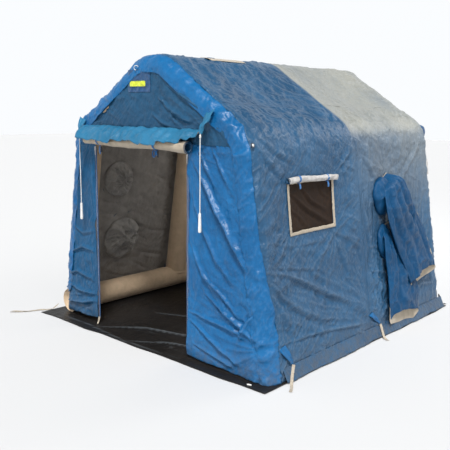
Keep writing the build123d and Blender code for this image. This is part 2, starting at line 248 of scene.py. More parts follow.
def support(s):
    """How free the skin is to sag, from the foot over one side to the ridge; 0 over a beam."""
    s = np.minimum(s, SKIN.length - s)
    wall = np.sin(math.pi * np.clip((s - S_BASE) / (S_EAVE - S_BASE), 0, 1))
    roof = np.sin(math.pi * np.clip((s - S_EAVE_END) / (S_RIDGE - S_EAVE_END), 0, 1))
    return np.maximum(wall, roof) * 0.9 + 0.1


def bay_sag(s, v, depth=0.05):
    """The skin hangs in between the arches and lies on them."""
    t = np.clip(np.abs(v) / ARCH_Y, 0, 1)
    sag = -depth * np.sin(math.pi * t) ** 1.15 * support(s)
    near = np.minimum(np.abs(v), np.abs(np.abs(v) - ARCH_Y))
    on_arch = -near ** 2 / (2 * WRAP)
    on_arch = np.where(np.abs(v) > ARCH_Y, 0, on_arch)
    return np.maximum(sag, on_arch)


# ---------------- materials

def new_material(name):
    """A new material, its node tree and its shader."""
    material = bpy.data.materials.new(name)
    material.use_nodes = True
    tree = material.node_tree
    return material, tree, tree.nodes["Principled BSDF"]


def put(node, values):
    """Sets inputs of a node by their names."""
    for name, value in values.items():
        node.inputs[name].default_value = value


def mapped(tree, scale):
    """The piece's own coordinates, which are the row frame's, scaled."""
    where = tree.nodes.new("ShaderNodeTexCoord")
    mapping = tree.nodes.new("ShaderNodeMapping")
    put(mapping, {"Scale": scale})
    tree.links.new(where.outputs["Object"], mapping.inputs["Vector"])
    return mapping.outputs["Vector"]


def noise_node(tree, vector, scale, detail=4.0, rough=0.55, distortion=0.0):
    """The value of a noise texture."""
    node = tree.nodes.new("ShaderNodeTexNoise")
    put(node, {"Scale": scale, "Detail": detail, "Roughness": rough, "Distortion": distortion})
    tree.links.new(vector, node.inputs["Vector"])
    return node.outputs["Fac"]


def math_node(tree, kind, a, b=None):
    """The result of a sum on numbers or sockets."""
    node = tree.nodes.new("ShaderNodeMath")
    node.operation = kind
    for socket, value in zip(node.inputs, (a, b)):
        if value is None:
            continue
        if isinstance(value, (int, float)):
            socket.default_value = value
        else:
            tree.links.new(value, socket)
    return node.outputs[0]


def mix_colour(tree, share, a, b):
    """A colour between two colours or sockets."""
    node = tree.nodes.new("ShaderNodeMix")
    node.data_type = "RGBA"
    for socket, value in ((node.inputs["Factor"], share), (node.inputs["A"], a), (node.inputs["B"], b)):
        if isinstance(value, (int, float)):
            socket.default_value = value
        elif isinstance(value, tuple):
            socket.default_value = (*value, 1.0)
        else:
            tree.links.new(value, socket)
    return node.outputs["Result"]


def ramp(tree, value, low, high, to_low=0.0, to_high=1.0):
    """A value moved smoothly from one range to another."""
    node = tree.nodes.new("ShaderNodeMapRange")
    node.interpolation_type = "SMOOTHSTEP"
    put(node, {"From Min": low, "From Max": high, "To Min": to_low, "To Max": to_high})
    tree.links.new(value, node.inputs["Value"])
    return node.outputs["Result"]


def bump(tree, height, distance, strength, below=None):
    """A bump on top of another one, if there is one."""
    node = tree.nodes.new("ShaderNodeBump")
    put(node, {"Distance": distance, "Strength": strength})
    tree.links.new(height, node.inputs["Height"])
    if below is not None:
        tree.links.new(below, node.inputs["Normal"])
    return node.outputs["Normal"]


def attribute(tree, name):
    """A number stored at the points of a piece."""
    node = tree.nodes.new("ShaderNodeAttribute")
    node.attribute_name = name
    return node.outputs["Fac"]


def crinkle(tree, vector, scale):
    """Sharp little crests of crumpled coated cloth, 0 to 1."""
    value = noise_node(tree, vector, scale, 3.0, 0.5, 0.6)
    folded = math_node(tree, "ABSOLUTE", math_node(tree, "SUBTRACT", value, 0.5))
    return math_node(tree, "SUBTRACT", 1.0, math_node(tree, "MULTIPLY", folded, 4.0))


def weave(tree, pitch):
    """A fine two-way weave, from bands along each axis."""
    height = None
    for axis in ("X", "Y", "Z"):
        wave = tree.nodes.new("ShaderNodeTexWave")
        wave.bands_direction = axis
        put(wave, {"Scale": 0.314 / pitch, "Distortion": 0.0})
        tree.links.new(mapped(tree, (1, 1, 1)), wave.inputs["Vector"])
        band = wave.outputs["Fac"]
        height = band if height is None else math_node(tree, "MAXIMUM", height, band)
    return height


def coated_cloth(name, colour, dark, painted_reflection_colour=None, rough=0.34, crinkles=1.0, coat=0.0, gloss=0.22, worn=0.10,
        dirt=(0.10, 0.10, 0.10)):
    """Coated nylon: uneven dye, pale wear with a painted highlight on crests, painted shade and painted
    highlight on its crinkles, dust low down, gloss, crumple and weave, and an optional painted pale
    reflection.
    """
    material, tree, shader = new_material(name)
    vector = mapped(tree, (1, 1, 1))
    cloud = noise_node(tree, vector, 1.7, 3.0, 0.6)
    mottle = noise_node(tree, vector, 23.0, 4.0, 0.6)
    base = mix_colour(tree, ramp(tree, cloud, 0.3, 0.7), dark, colour)
    base = mix_colour(tree, ramp(tree, mottle, 0.35, 0.75, 0.0, 0.22), base, tuple(c * 0.6 for c in dark))
    # Painted pale reflection: a second colour mixed in by a per-point weight.
    if painted_reflection_colour:
        base = mix_colour(tree, attribute(tree, "fade"), base, painted_reflection_colour)
    # Pale wear and a painted highlight along the relief's crests; worn sets their strength.
    crest_wear_and_highlight = math_node(tree, "MULTIPLY", attribute(tree, "crest"), worn)
    base = mix_colour(tree, crest_wear_and_highlight, base, (0.50, 0.58, 0.64))
    # Painted shade: darker in the troughs of the crinkle pattern.
    shade = ramp(tree, crinkle(tree, vector, 5.2), 0.15, 0.75, 0.10, 0.0)
    base = mix_colour(tree, shade, base, tuple(c * 0.35 for c in dark))
    # Painted highlight: lighter on the crests of a finer crinkle pattern.
    light = ramp(tree, crinkle(tree, vector, 13.0), 0.70, 1.0, 0.0, 0.07)
    base = mix_colour(tree, light, base, tuple(min(1.0, c * 1.6 + 0.03) for c in colour))
    grime = math_node(tree, "MULTIPLY", attribute(tree, "low"), ramp(tree, mottle, 0.3, 0.7, 0.1, 0.5))
    base = mix_colour(tree, grime, base, dirt)
    tree.links.new(base, shader.inputs["Base Color"])
    tree.links.new(ramp(tree, cloud, 0.25, 0.75, rough - 0.05, rough + 0.10), shader.inputs["Roughness"])
    put(shader, {"Specular IOR Level": gloss, "Coat Weight": coat, "Coat Roughness": 0.22})
    big = bump(tree, crinkle(tree, vector, 6.0), 0.012, 0.30 * crinkles)
    small = bump(tree, crinkle(tree, vector, 21.0), 0.005, 0.34 * crinkles, big)
    fine = bump(tree, weave(tree, 0.0045), 0.0004, 0.15, small)
    tree.links.new(fine, shader.inputs["Normal"])
    return material


def plain_cloth(name, colour, dark, rough=0.7, scale=60.0, sheen=0.2, depth=0.002, pitch=0.003):
    """Uncoated cloth, webbing or lining: mottled, matt, with a weave and light creases."""
    material, tree, shader = new_material(name)
    vector = mapped(tree, (1, 1, 1))
    mottle = noise_node(tree, vector, scale, 4.0, 0.6)
    cloud = noise_node(tree, vector, 3.0, 3.0, 0.6)
    base = mix_colour(tree, ramp(tree, mottle, 0.3, 0.7), dark, colour)
    base = mix_colour(tree, ramp(tree, cloud, 0.35, 0.75, 0.0, 0.35), base, dark)
    tree.links.new(base, shader.inputs["Base Color"])
    tree.links.new(ramp(tree, mottle, 0.3, 0.7, rough - 0.08, rough + 0.08), shader.inputs["Roughness"])
    put(shader, {"Sheen Weight": sheen, "Specular IOR Level": 0.2})
    creases = bump(tree, crinkle(tree, vector, 13.0), depth * 2, 0.4)
    tree.links.new(bump(tree, weave(tree, pitch), depth * 0.3, 0.3, creases), shader.inputs["Normal"])
    return material


def moulded(name, colour, rough=0.45, metallic=0.0):
    """Moulded plastic or worn metal: slight mottling, scuffs in the gloss, fine grain."""
    material, tree, shader = new_material(name)
    vector = mapped(tree, (1, 1, 1))
    grain = noise_node(tree, vector, 220.0, 3.0, 0.6)
    scuff = noise_node(tree, vector, 35.0, 5.0, 0.65)
    dark = tuple(c * 0.72 for c in colour)
    tree.links.new(mix_colour(tree, ramp(tree, scuff, 0.45, 0.8), colour, dark),
        shader.inputs["Base Color"])
    tree.links.new(ramp(tree, scuff, 0.3, 0.8, rough - 0.1, rough + 0.15), shader.inputs["Roughness"])
    put(shader, {"Metallic": metallic})
    tree.links.new(bump(tree, grain, 0.0005, 0.25), shader.inputs["Normal"])
    return material


BRIGHT = coated_cloth("bright_blue_nylon", (0.004, 0.122, 0.318), (0.003, 0.088, 0.240), rough=0.33,
    gloss=0.26, coat=0.05, worn=0.04)
# A darker copy of the bright blue nylon: painted shade on the left front panel.
SHADED_DRAPE = coated_cloth("left_drape_shaded_nylon", (0.006, 0.088, 0.205), (0.004, 0.062, 0.150), rough=0.38,
    gloss=0.22, coat=0.03, worn=0.04)
FLAP = plain_cloth("pale_flap_lining", (0.60, 0.58, 0.56), (0.40, 0.38, 0.36), scale=25.0, depth=0.004)
# A darker, duller copy of the blue nylon: painted shade on the gable.
SHADED_GABLE = coated_cloth("gable_shaded_blue_nylon", (0.012, 0.075, 0.158), (0.009, 0.057, 0.122), rough=0.42,
    worn=0.03)
# The same nylon as the bright blue, painted duller and greyer to stand for the sky's reflection on the
# leaning walls and roof.
SKY_DULLED_BLUE = coated_cloth("sky_dulled_side_nylon", (0.022, 0.092, 0.190), (0.012, 0.060, 0.132),
    # the pale grey-beige below is a painted reflection colour for the rear bay
    painted_reflection_colour=(0.300, 0.300, 0.262), rough=0.36, crinkles=1.80, coat=0.04, gloss=0.30, worn=0.08)
# A lighter copy of the blue nylon: painted light on the hood and the cord tabs.
LIT_HOOD = coated_cloth("hood_lit_blue_nylon", (0.026, 0.172, 0.315), (0.019, 0.134, 0.250), rough=0.42, worn=0.05)
SLEEVE = coated_cloth("sleeve_blue_nylon", (0.005, 0.066, 0.170), (0.003, 0.042, 0.110), rough=0.42,
    gloss=0.16, worn=0.05)
PORT_CLOTH = plain_cloth("port_lining_cloth", (0.36, 0.34, 0.31), (0.24, 0.23, 0.22), rough=0.6, scale=9.0)
LINING = plain_cloth("beige_lining", (0.46, 0.39, 0.30), (0.34, 0.29, 0.22), rough=0.62, scale=14.0)
# The beige lining's cloth, painted darker and greyer as shade on the skin's inner face.
SHADED_INNER = plain_cloth("shaded_inner_lining", (0.30, 0.28, 0.255), (0.22, 0.205, 0.19), rough=0.6, scale=9.0,
    depth=0.004)
BEAM = plain_cloth("tan_beam_fabric", (0.66, 0.49, 0.33), (0.55, 0.41, 0.27), rough=0.55, scale=11.0,
    depth=0.003)
MESH = plain_cloth("brown_insect_mesh", (0.030, 0.017, 0.010), (0.015, 0.008, 0.005), rough=0.8, sheen=0.0,
    scale=30.0, pitch=0.0022)
WEB_BLUE = plain_cloth("blue_webbing", (0.03, 0.18, 0.46), (0.02, 0.12, 0.33), scale=90.0)
WEB_TAN = plain_cloth("tan_webbing", (0.52, 0.46, 0.37), (0.36, 0.30, 0.23), scale=70.0)
WEB_BLACK = plain_cloth("black_webbing", (0.022, 0.022, 0.024), (0.01, 0.01, 0.011), scale=90.0)
WHITE_CLOTH = plain_cloth("white_cord_cloth", (0.80, 0.80, 0.78), (0.60, 0.60, 0.58), scale=120.0)
FLOOR_CLOTH = coated_cloth("black_ground_sheet", (0.012, 0.011, 0.011), (0.007, 0.0065, 0.0065), rough=0.46,
    crinkles=0.9, coat=0.05, dirt=(0.05, 0.045, 0.04))
ZIP_TAPE = plain_cloth("zip_tape", (0.02, 0.10, 0.27), (0.012, 0.05, 0.14), scale=200.0, pitch=0.004)
METAL = moulded("worn_zip_metal", (0.42, 0.42, 0.43), 0.4, 0.9)
WHITE_PLASTIC = moulded("white_plastic", (0.80, 0.79, 0.76), 0.5)
DARK_PLASTIC = moulded("dark_plastic", (0.03, 0.04, 0.06), 0.4)
PATCH = plain_cloth("dark_blue_patch", (0.022, 0.085, 0.20), (0.016, 0.06, 0.15), scale=50.0)
LABEL = plain_cloth("yellow_label", (0.66, 0.74, 0.05), (0.55, 0.62, 0.04), rough=0.45, scale=40.0)


# ---------------- meshes

CREST_GAIN, CREST_START = 700.0, 0.35


def crest_of(lift):
    """Where a grid's relief has sharp crests, from 0 to 1."""
    around = np.zeros_like(lift)
    around[1:-1, 1:-1] = (lift[:-2, 1:-1] + lift[2:, 1:-1] + lift[1:-1, :-2] + lift[1:-1, 2:]) / 4
    sharp = np.zeros_like(lift)
    sharp[1:-1, 1:-1] = lift[1:-1, 1:-1] - around[1:-1, 1:-1]
    return np.clip(sharp * CREST_GAIN - CREST_START, 0, 1)


def added(name, data):
    """A new object in the scene."""
    obj = bpy.data.objects.new(name, data)
    bpy.context.scene.collection.objects.link(obj)
    return obj


def make_object(name, points, faces, material, body="shelter", replaces=(), slot=None):
    mesh = bpy.data.meshes.new(name)
    mesh.from_pydata([tuple(p) for p in points], [], faces)
    mesh.update()
    mesh.polygons.foreach_set("use_smooth", [True] * len(mesh.polygons))
    obj = added(name, mesh)
    mesh.materials.append(material)
    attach(obj, body)
    if replaces:
        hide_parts(*replaces)
    return obj


def put_attribute(obj, name, values):
    """A number at each point, for the material."""
    layer = obj.data.attributes.new(name, "FLOAT", "POINT")
    layer.data.foreach_set("value", np.asarray(values, np.float32).ravel())


def thicken(obj, thickness, inner=None):
    """Cloth thickness, with another material on the inner face if there is one."""
    solid = obj.modifiers.new("cloth", "SOLIDIFY")
    solid.thickness = thickness
    solid.offset = -1.0
    solid.use_even_offset = False
    if inner is not None:
        obj.data.materials.append(inner)
        solid.material_offset = 1
    apply_modifiers(obj)


def apply_modifiers(obj):
    """Replaces an object's mesh by what its modifiers make of it."""
    graph = bpy.context.evaluated_depsgraph_get()
    graph.update()
    made = bpy.data.meshes.new_from_object(obj.evaluated_get(graph), preserve_all_data_layers=True,
        depsgraph=graph)
    old = obj.data
    obj.modifiers.clear()
    obj.data = made
    name = old.name
    bpy.data.meshes.remove(old)
    made.name = name


def grid_faces(rows, columns, closed=False, keep=None):
    """The faces of a grid of points."""
    last = columns if closed else columns - 1
    i, j = np.meshgrid(np.arange(rows - 1), np.arange(last), indexing="ij")
    after = (j + 1) % columns
    quads = np.stack([i * columns + j, i * columns + after, (i + 1) * columns + after,
        (i + 1) * columns + j], -1)
    if keep is not None:
        quads = quads[keep]
    return quads.reshape(-1, 4).tolist()


def sheet_piece(name, points, material, inner=None, thickness=CLOTH, keep=None, flip=False, fade=None,
        crest=None, low=None, **words):
    """A cloth surface from a grid of points, as a thickened sheet."""
    rows, columns = points.shape[:2]
    faces = grid_faces(rows, columns, keep=keep)
    if flip:
        faces = [f[::-1] for f in faces]
    obj = make_object(name, points.reshape(-1, 3), faces, material, **words)
    zero = np.zeros((rows, columns))
    # The first weight is the share of painted pale reflection that the material mixes in.
    put_attribute(obj, "fade", zero if fade is None else fade)
    put_attribute(obj, "crest", zero if crest is None else crest)
    if low is None:
        low = 1 - smooth(0.02, 0.30, points[..., 2])
    put_attribute(obj, "low", low)
    if keep is not None:
        drop_loose(obj)
    if thickness:
        thicken(obj, thickness, inner)
    return obj


def cloth(obj, flat, held="stretched", area=None, **words):
    """Returns the piece as it is; the size that it was cut to is not used."""
    return obj


def drop_loose(obj):
    """Removes the points that no face uses, such as those in a window's opening."""
    work = bmesh.new()
    work.from_mesh(obj.data)
    bmesh.ops.delete(work, geom=[v for v in work.verts if not v.link_faces], context="VERTS")
    work.to_mesh(obj.data)
    work.free()


def tube(name, path, radius, material, segments=40, ripple=None, caps=None, **words):
    """A closed round tube along a path, with rounded ends; ripple gives its relief at (length, angle)."""
    path = np.array(path)
    step = np.diff(path, axis=0)
    length = np.concatenate([[0], np.cumsum(np.linalg.norm(step, axis=1))])
    tangent = np.gradient(path, axis=0)
    tangent /= np.linalg.norm(tangent, axis=1, keepdims=True)
    side = np.array([0.0, 1.0, 0.0]) if abs(tangent[0][1]) < 0.9 else np.array([1.0, 0.0, 0.0])
    angle = np.linspace(0, 2 * math.pi, segments, endpoint=False)
    rings = []
    for point, along, at in zip(path, tangent, length):
        a = side - along * (side @ along)
        a /= np.linalg.norm(a)
        b = np.cross(along, a)
        r = np.full(segments, radius * (1.0 if caps is None else caps(at / length[-1])))
        if ripple is not None:
            r = r + ripple(at, angle)
        rings.append(point + r[:, None] * (np.cos(angle)[:, None] * a + np.sin(angle)[:, None] * b))
    points = np.array(rings)
    faces = grid_faces(len(path), segments, closed=True)
    count = len(path) * segments
    faces.append(list(range(segments)))
    faces.append(list(range(count - 1, count - segments - 1, -1)))
    obj = make_object(name, points.reshape(-1, 3), faces, material, **words)
    put_attribute(obj, "fade", np.zeros(count))
    put_attribute(obj, "crest", np.zeros(count))
    put_attribute(obj, "low", np.zeros(count))
    return obj


def ribbon(name, path, across, width, material, thickness=0.002, waves=0.0, seed=0, count=60, **words):
    """A strap: a flat band that follows a path, with its width along the given directions."""
    path, across = np.array(path, float), np.array(across, float)
    knots = np.concatenate([[0], np.cumsum(np.linalg.norm(np.diff(path, axis=0), axis=1))])
    t = np.linspace(0, knots[-1], count)
    smooth_path = np.stack([catmull(knots, path[:, k], t) for k in range(3)], -1)
    wide = np.stack([np.interp(t, knots, across[:, k]) for k in range(3)], -1)
    wide /= np.linalg.norm(wide, axis=1, keepdims=True)
    width = np.interp(t, knots, np.broadcast_to(width, len(path)))
    offsets = np.linspace(-0.5, 0.5, 7)
    points = smooth_path[:, None, :] + wide[:, None, :] * (offsets[None, :, None] * width[:, None, None])
    if waves:
        along = np.gradient(smooth_path, axis=0)
        along /= np.linalg.norm(along, axis=1, keepdims=True)
        up = np.cross(wide, along)
        lift = waves * noise(t[:, None] * 22 + 0 * offsets, 3 + 4 * offsets + 0 * t[:, None], seed)
        points = points + up[:, None, :] * lift[..., None]
    return sheet_piece(name, points, material, thickness=thickness, **words)


def catmull(knots, values, at):
    """A smooth curve through values at knots, monotone enough for short cloth pieces."""
    slope = np.gradient(values, knots)
    i = np.clip(np.searchsorted(knots, at) - 1, 0, len(knots) - 2)
    h = knots[i + 1] - knots[i]
    t = (at - knots[i]) / h
    return ((2 * t ** 3 - 3 * t ** 2 + 1) * values[i] + (t ** 3 - 2 * t ** 2 + t) * h * slope[i]
            + (-2 * t ** 3 + 3 * t ** 2) * values[i + 1] + (t ** 3 - t ** 2) * h * slope[i + 1])


# ---------------- skin over the arches

WINDOW_Y, WINDOW_Z, WINDOW_W, WINDOW_H, TRIM = -0.730, 1.355, 0.680, 0.450, 0.025
RIGHT_PORTS = [(0.450, 1.400, 0.150), (0.450, 0.720, 0.190)]
LEFT_PORTS = [(-0.920, 1.400, 0.150), (-0.820, 0.720, 0.190)]
STEP = 0.0125
LAP = 0.016


def front_seam(s):
    """Where the bright cover ends, some way round the front arch from its outermost line."""
    _, z, nx, _ = SKIN.at(s)
    roof = 1 - smooth(0.60, 0.90, np.abs(nx))
    angle = math.radians(38) * smooth(0.25, 1.25, z) * (1 - roof) + math.radians(24) * roof
    return -ARCH_Y - WRAP * angle


RIGHT_FRONT_FOLDS = [
    ([(-1.46, 0.90), (-1.20, 0.84), (-0.84, 0.70), (-0.40, 0.48), (0.02, 0.27)], 0.040, 0.016),
    ([(-1.44, 0.84), (-1.20, 0.62), (-0.95, 0.47), (-0.55, 0.36)], 0.045, 0.018),
    ([(-1.40, 0.72), (-1.26, 0.50), (-1.16, 0.36)], 0.040, 0.012),
    ([(-1.35, 0.305), (-0.79, 0.28), (-0.11, 0.19), (0.05, 0.17)], 0.020, 0.012),
    ([(-1.42, 1.13), (-1.07, 1.05), (-0.41, 1.03)], 0.022, 0.005),
    ([(-1.40, 0.93), (-1.00, 0.86), (-0.51, 0.77)], 0.020, 0.005),
    ([(-0.48, 1.12), (-0.20, 1.00), (0.04, 0.86)], 0.035, 0.010),
    ([(-0.42, 1.10), (-0.30, 0.85), (-0.22, 0.60)], 0.030, 0.007),
    ([(-1.43, 1.90), (-1.30, 1.76), (-1.10, 1.62)], 0.030, 0.011),
    ([(-1.40, 1.97), (-1.20, 1.84), (-0.90, 1.70)], 0.035, 0.009),
    ([(-0.36, 1.60), (-0.20, 1.72), (-0.05, 1.82)], 0.028, 0.008),
    ([(-0.38, 1.13), (-0.62, 0.92), (-0.80, 0.70)], 0.035, 0.007),
    ([(-0.20, 1.80), (-0.21, 1.66), (-0.18, 1.52)], 0.022, 0.006),
    ([(-1.10, 1.12), (-1.25, 1.00), (-1.38, 0.90)], 0.025, 0.007),
]
RIGHT_REAR_FOLDS = [
    ([(1.34, 1.90), (1.10, 1.66), (0.90, 1.48), (0.70, 1.42)], 0.035, 0.010),
    ([(0.06, 1.30), (0.14, 0.95), (0.20, 0.60)], 0.040, 0.012),
    ([(0.10, 0.30), (0.22, 0.55), (0.26, 0.85)], 0.035, 0.010),
    ([(1.36, 0.30), (1.10, 0.34), (0.85, 0.30)], 0.025, 0.010),
    ([(0.10, 1.75), (0.25, 1.60), (0.38, 1.50)], 0.028, 0.009),
    ([(1.30, 1.20), (1.22, 0.90), (1.30, 0.60)], 0.035, 0.008),
]


def streaks(u, v, angle, seed, along=2.4, across=13.0):
    """Long narrow wrinkles that run at an angle from the horizontal, about zero on the whole."""
    bend = 0.035 * noise(u * 2.6, v * 2.6, seed + 5)
    far = u * math.cos(angle) + v * math.sin(angle)
    wide = v * math.cos(angle) - u * math.sin(angle) + bend
    patchy = smooth(-0.45, 0.55, noise(u * 1.7, v * 1.7, seed + 8))
    return (crease(far * along, wide * across, seed, 2) - 0.42) * (0.25 + 0.75 * patchy)


def settled(s, v, lift, edges):
    """Relief that never sinks into a beam, and that is calm along the seams where covers meet."""
    for distance in edges:
        lift = lift * (1 - 0.95 * np.exp(-(distance / 0.050) ** 2))
    from_foot = np.minimum(s, SKIN.length - s)
    _, z, _, _ = SKIN.at(s)
    low = np.clip(1 - np.abs(z - BASE_Z) / 0.20, 0, 1)
    eave = np.clip(1 - np.abs(from_foot - (S_EAVE + S_EAVE_END) / 2) / 0.26, 0, 1)
    ridge = np.clip(1 - np.abs(s - SKIN.length / 2) / 0.26, 0, 1)
    arch = np.clip(1 - np.minimum(np.abs(v), np.maximum(ARCH_Y - np.abs(v), 0)) / 0.12, 0, 1)
    on_beam = np.maximum.reduce([smooth(0, 0.5, low), smooth(0, 0.6, eave), smooth(0, 0.6, ridge),
        smooth(0, 0.6, arch)])
    return np.maximum(lift, -0.0015 - 0.08 * (1 - on_beam))


def crumple(s, v, seed, amount=1.0):
    """Overall crumple of the skin, at three scales."""
    coarse = crease(s * 2.3 + 0.6 * v, v * 2.9, seed, 2) - 0.45
    middle = crease(s * 6.1 - 1.3 * v, v * 6.7, seed + 7, 2) - 0.45
    fine = crease(s * 15.0, v * 14.0 + 3 * s, seed + 13, 2) - 0.45
    patchy = 0.35 + 0.65 * smooth(-0.5, 0.6, noise(s * 1.4, v * 1.4, seed + 21))
    return amount * (0.0100 * coarse + (0.0150 * middle + 0.0090 * fine) * patchy)


def side_relief(s, v, seed, folds, focuses, near=None):
    """Relief of one bay's wall and lower roof; it is calmer round a window, whose middle is near."""
    _, z, _, _ = SKIN.at(s)
    lift = crumple(s, v, seed) + 0.0260 * streaks(v, z, math.radians(-22), seed + 50, 2.2, 11.0)
    lift += 0.0200 * streaks(v, z, math.radians(34), seed + 60, 2.6, 14.0)
    lift += 0.0150 * streaks(v, z, math.radians(78), seed + 70, 2.2, 17.0)
    lift = with_rays(lift, v, z, focuses, lambda focus, reach: seed + int(100 * reach))
    lift = with_folds(lift, v, z, folds, share=1 - smooth(1.95, 2.15, z))
    puckers = noise(z * 34.0 + s * 3, 0 * z + 0.5, seed + 3) * np.exp(-np.abs(np.abs(v) - 1.44) / 0.05)
    hem = 1 - smooth(0.10, 0.30, z)
    lift += 0.004 * puckers + hem * 0.006 * noise(v * 7.0, z * 6.0, seed + 5)
    away = np.maximum(np.abs(v - near) - WINDOW_W / 2, np.abs(z - WINDOW_Z) - WINDOW_H / 2) if near else 1.0
    calm = 1 - 0.85 * np.exp(-np.maximum(away, 0) / 0.035)
    lift = settled(s, v, lift * calm, [v, s - S_SEAM])
    return bay_sag(s, v) + lift


FRONT_FOCUSES = [
    ((-1.07, 1.58), 0.55, 26, 0.010), ((-0.39, 1.58), 0.50, 24, 0.009),
    ((-0.39, 1.13), 0.55, 26, 0.012), ((-1.07, 1.13), 0.45, 22, 0.009),
    ((0.05, 0.26), 0.90, 34, 0.016), ((-1.34, 0.25), 0.50, 26, 0.010),
    ((-1.44, 0.88), 0.75, 24, 0.014), ((-1.40, 1.93), 0.70, 26, 0.012),
]
REAR_FOCUSES = [
    ((0.55, 1.56), 0.60, 26, 0.012), ((1.40, 1.93), 0.70, 26, 0.012), ((0.02, 1.93), 0.55, 22, 0.010),
    ((0.10, 0.25), 0.60, 28, 0.010), ((1.40, 0.20), 0.70, 26, 0.011), ((0.70, 0.60), 0.50, 22, 0.007),
]


def painted_reflection_share(points):
    """How much painted pale reflection the skin gets: the rear bay, most on the roof, least low by the
    middle arch.
    """
    y, z = points[..., 1], points[..., 2]
    on_roof = smooth(1.88, 2.02, z)
    edge = -0.02 + 0.012 * noise(z * 9.0, y * 2.0, 77)
    sharp = smooth(edge - 0.012, edge + 0.012, y)
    soft = smooth(-0.22, 0.55, y + 0.10 * noise(z * 2.2, y * 2.0, 76)) * (0.02
        + 0.46 * smooth(0.80, 1.90, z))
    cloud = 0.84 + 0.16 * noise(y * 4.0, z * 4.0, 78)
    return np.clip((sharp * on_roof + soft * (1 - on_roof)) * cloud, 0, 1)


def window_hole(v, z, sign):
    """Cells of a grid that lie in the window's opening."""
    return (np.abs(v * sign - WINDOW_Y) < WINDOW_W / 2 - TRIM) & (np.abs(z - WINDOW_Z) < WINDOW_H / 2 - TRIM)


def with_lines(values, lines):
    """Grid values with the nearest ones moved onto given lines."""
    values = np.array(values)
    for line in lines:
        values[np.argmin(np.abs(values - line))] = line
    return values


def side_cover(name, side, rear, folds, focuses, seed, windowed, replaces):
    """One bay's cover on one side, from the foot to the roof seam."""
    s = np.linspace(0, S_SEAM, int(S_SEAM / STEP))
    tops = [SKIN.s_at(WINDOW_Z + k * (WINDOW_H / 2 - TRIM)) for k in (-1, 1)]
    sign = -1 if rear else 1
    edges = [sign * WINDOW_Y + k * (WINDOW_W / 2 - TRIM) for k in (-1, 1)]
    if rear:
        v = np.linspace(0, ARCH_Y + CORNER, int(1.6 / STEP))
    else:
        v = np.linspace(-ARCH_Y - 0.088, 0.008, int(1.48 / STEP))
    if windowed:
        s, v = with_lines(s, tops), with_lines(v, edges)
    ss, vv = np.meshgrid(s, v, indexing="ij")
    if not rear:
        pull = 1 - smooth(-1.44, -1.15, vv)
        vv = vv + (front_seam(ss) - v[0]) * pull
    lift = side_relief(ss, vv, seed, folds, focuses, sign * WINDOW_Y if windowed else None)
    points = skin_points(ss, vv, lift)
    keep = None
    if windowed:
        _, z, _, _ = SKIN.at((ss[1:, 1:] + ss[:-1, :-1]) / 2)
        keep = ~window_hole((vv[1:, 1:] + vv[:-1, :-1]) / 2, z, sign)
    if side < 0:
        points = points * np.array([-1, 1, 1])
    obj = sheet_piece(name, points, SKY_DULLED_BLUE, SHADED_INNER, keep=keep, flip=side < 0, fade=painted_reflection_share(points),
        crest=crest_of(lift), replaces=replaces, slot="faded_skin" if rear else "blue_skin")
    return cloth(obj, (v[-1] - v[0], S_SEAM), area=(v[-1] - v[0]) * S_SEAM - (0.25 if windowed else 0))


def ridge_skin():
    """The cover over the ridge, between the two roof seams."""
    s = np.linspace(S_SEAM - LAP, SKIN.length - S_SEAM + LAP, 130)
    v = np.linspace(-ARCH_Y - 0.055, ARCH_Y + CORNER, 190)
    ss, vv = np.meshgrid(s, v, indexing="ij")
    pull = 1 - smooth(-1.44, -1.15, vv)
    vv = vv + (front_seam(ss) - v[0]) * pull
    lift = crumple(ss, vv, 300, 1.0)
    lift += 0.0150 * streaks(vv, ss, math.radians(62), 310, 2.2, 12.0)
    lift += 0.0120 * streaks(vv, ss, math.radians(-48), 320, 2.4, 14.0)
    across = ss - SKIN.length / 2
    focuses = [((y, k * 0.80), reach, 26, height) for y, reach,
        height in ((-1.40, 0.8, 0.012), (0.0, 0.7, 0.010), (1.40, 0.8, 0.012)) for k in (1, -1)]
    lift = with_rays(lift, vv, across, focuses, lambda focus, _: 330 + int(10 * focus[0] + 5 * focus[1]))
    seam = np.abs(across) - (SKIN.length / 2 - S_SEAM)
    lift = bay_sag(ss, vv) + settled(ss, vv, lift, [vv, seam]) + 0.0012 * np.exp(-np.abs(seam) / 0.012)
    points = skin_points(ss, vv, lift)
    obj = sheet_piece("ridge_cover_skin", points, SKY_DULLED_BLUE, SHADED_INNER, fade=painted_reflection_share(points), crest=crest_of(lift),
        replaces=["ridge_cover"], slot="blue_skin")
    return cloth(obj, (v[-1] - v[0], s[-1] - s[0]))


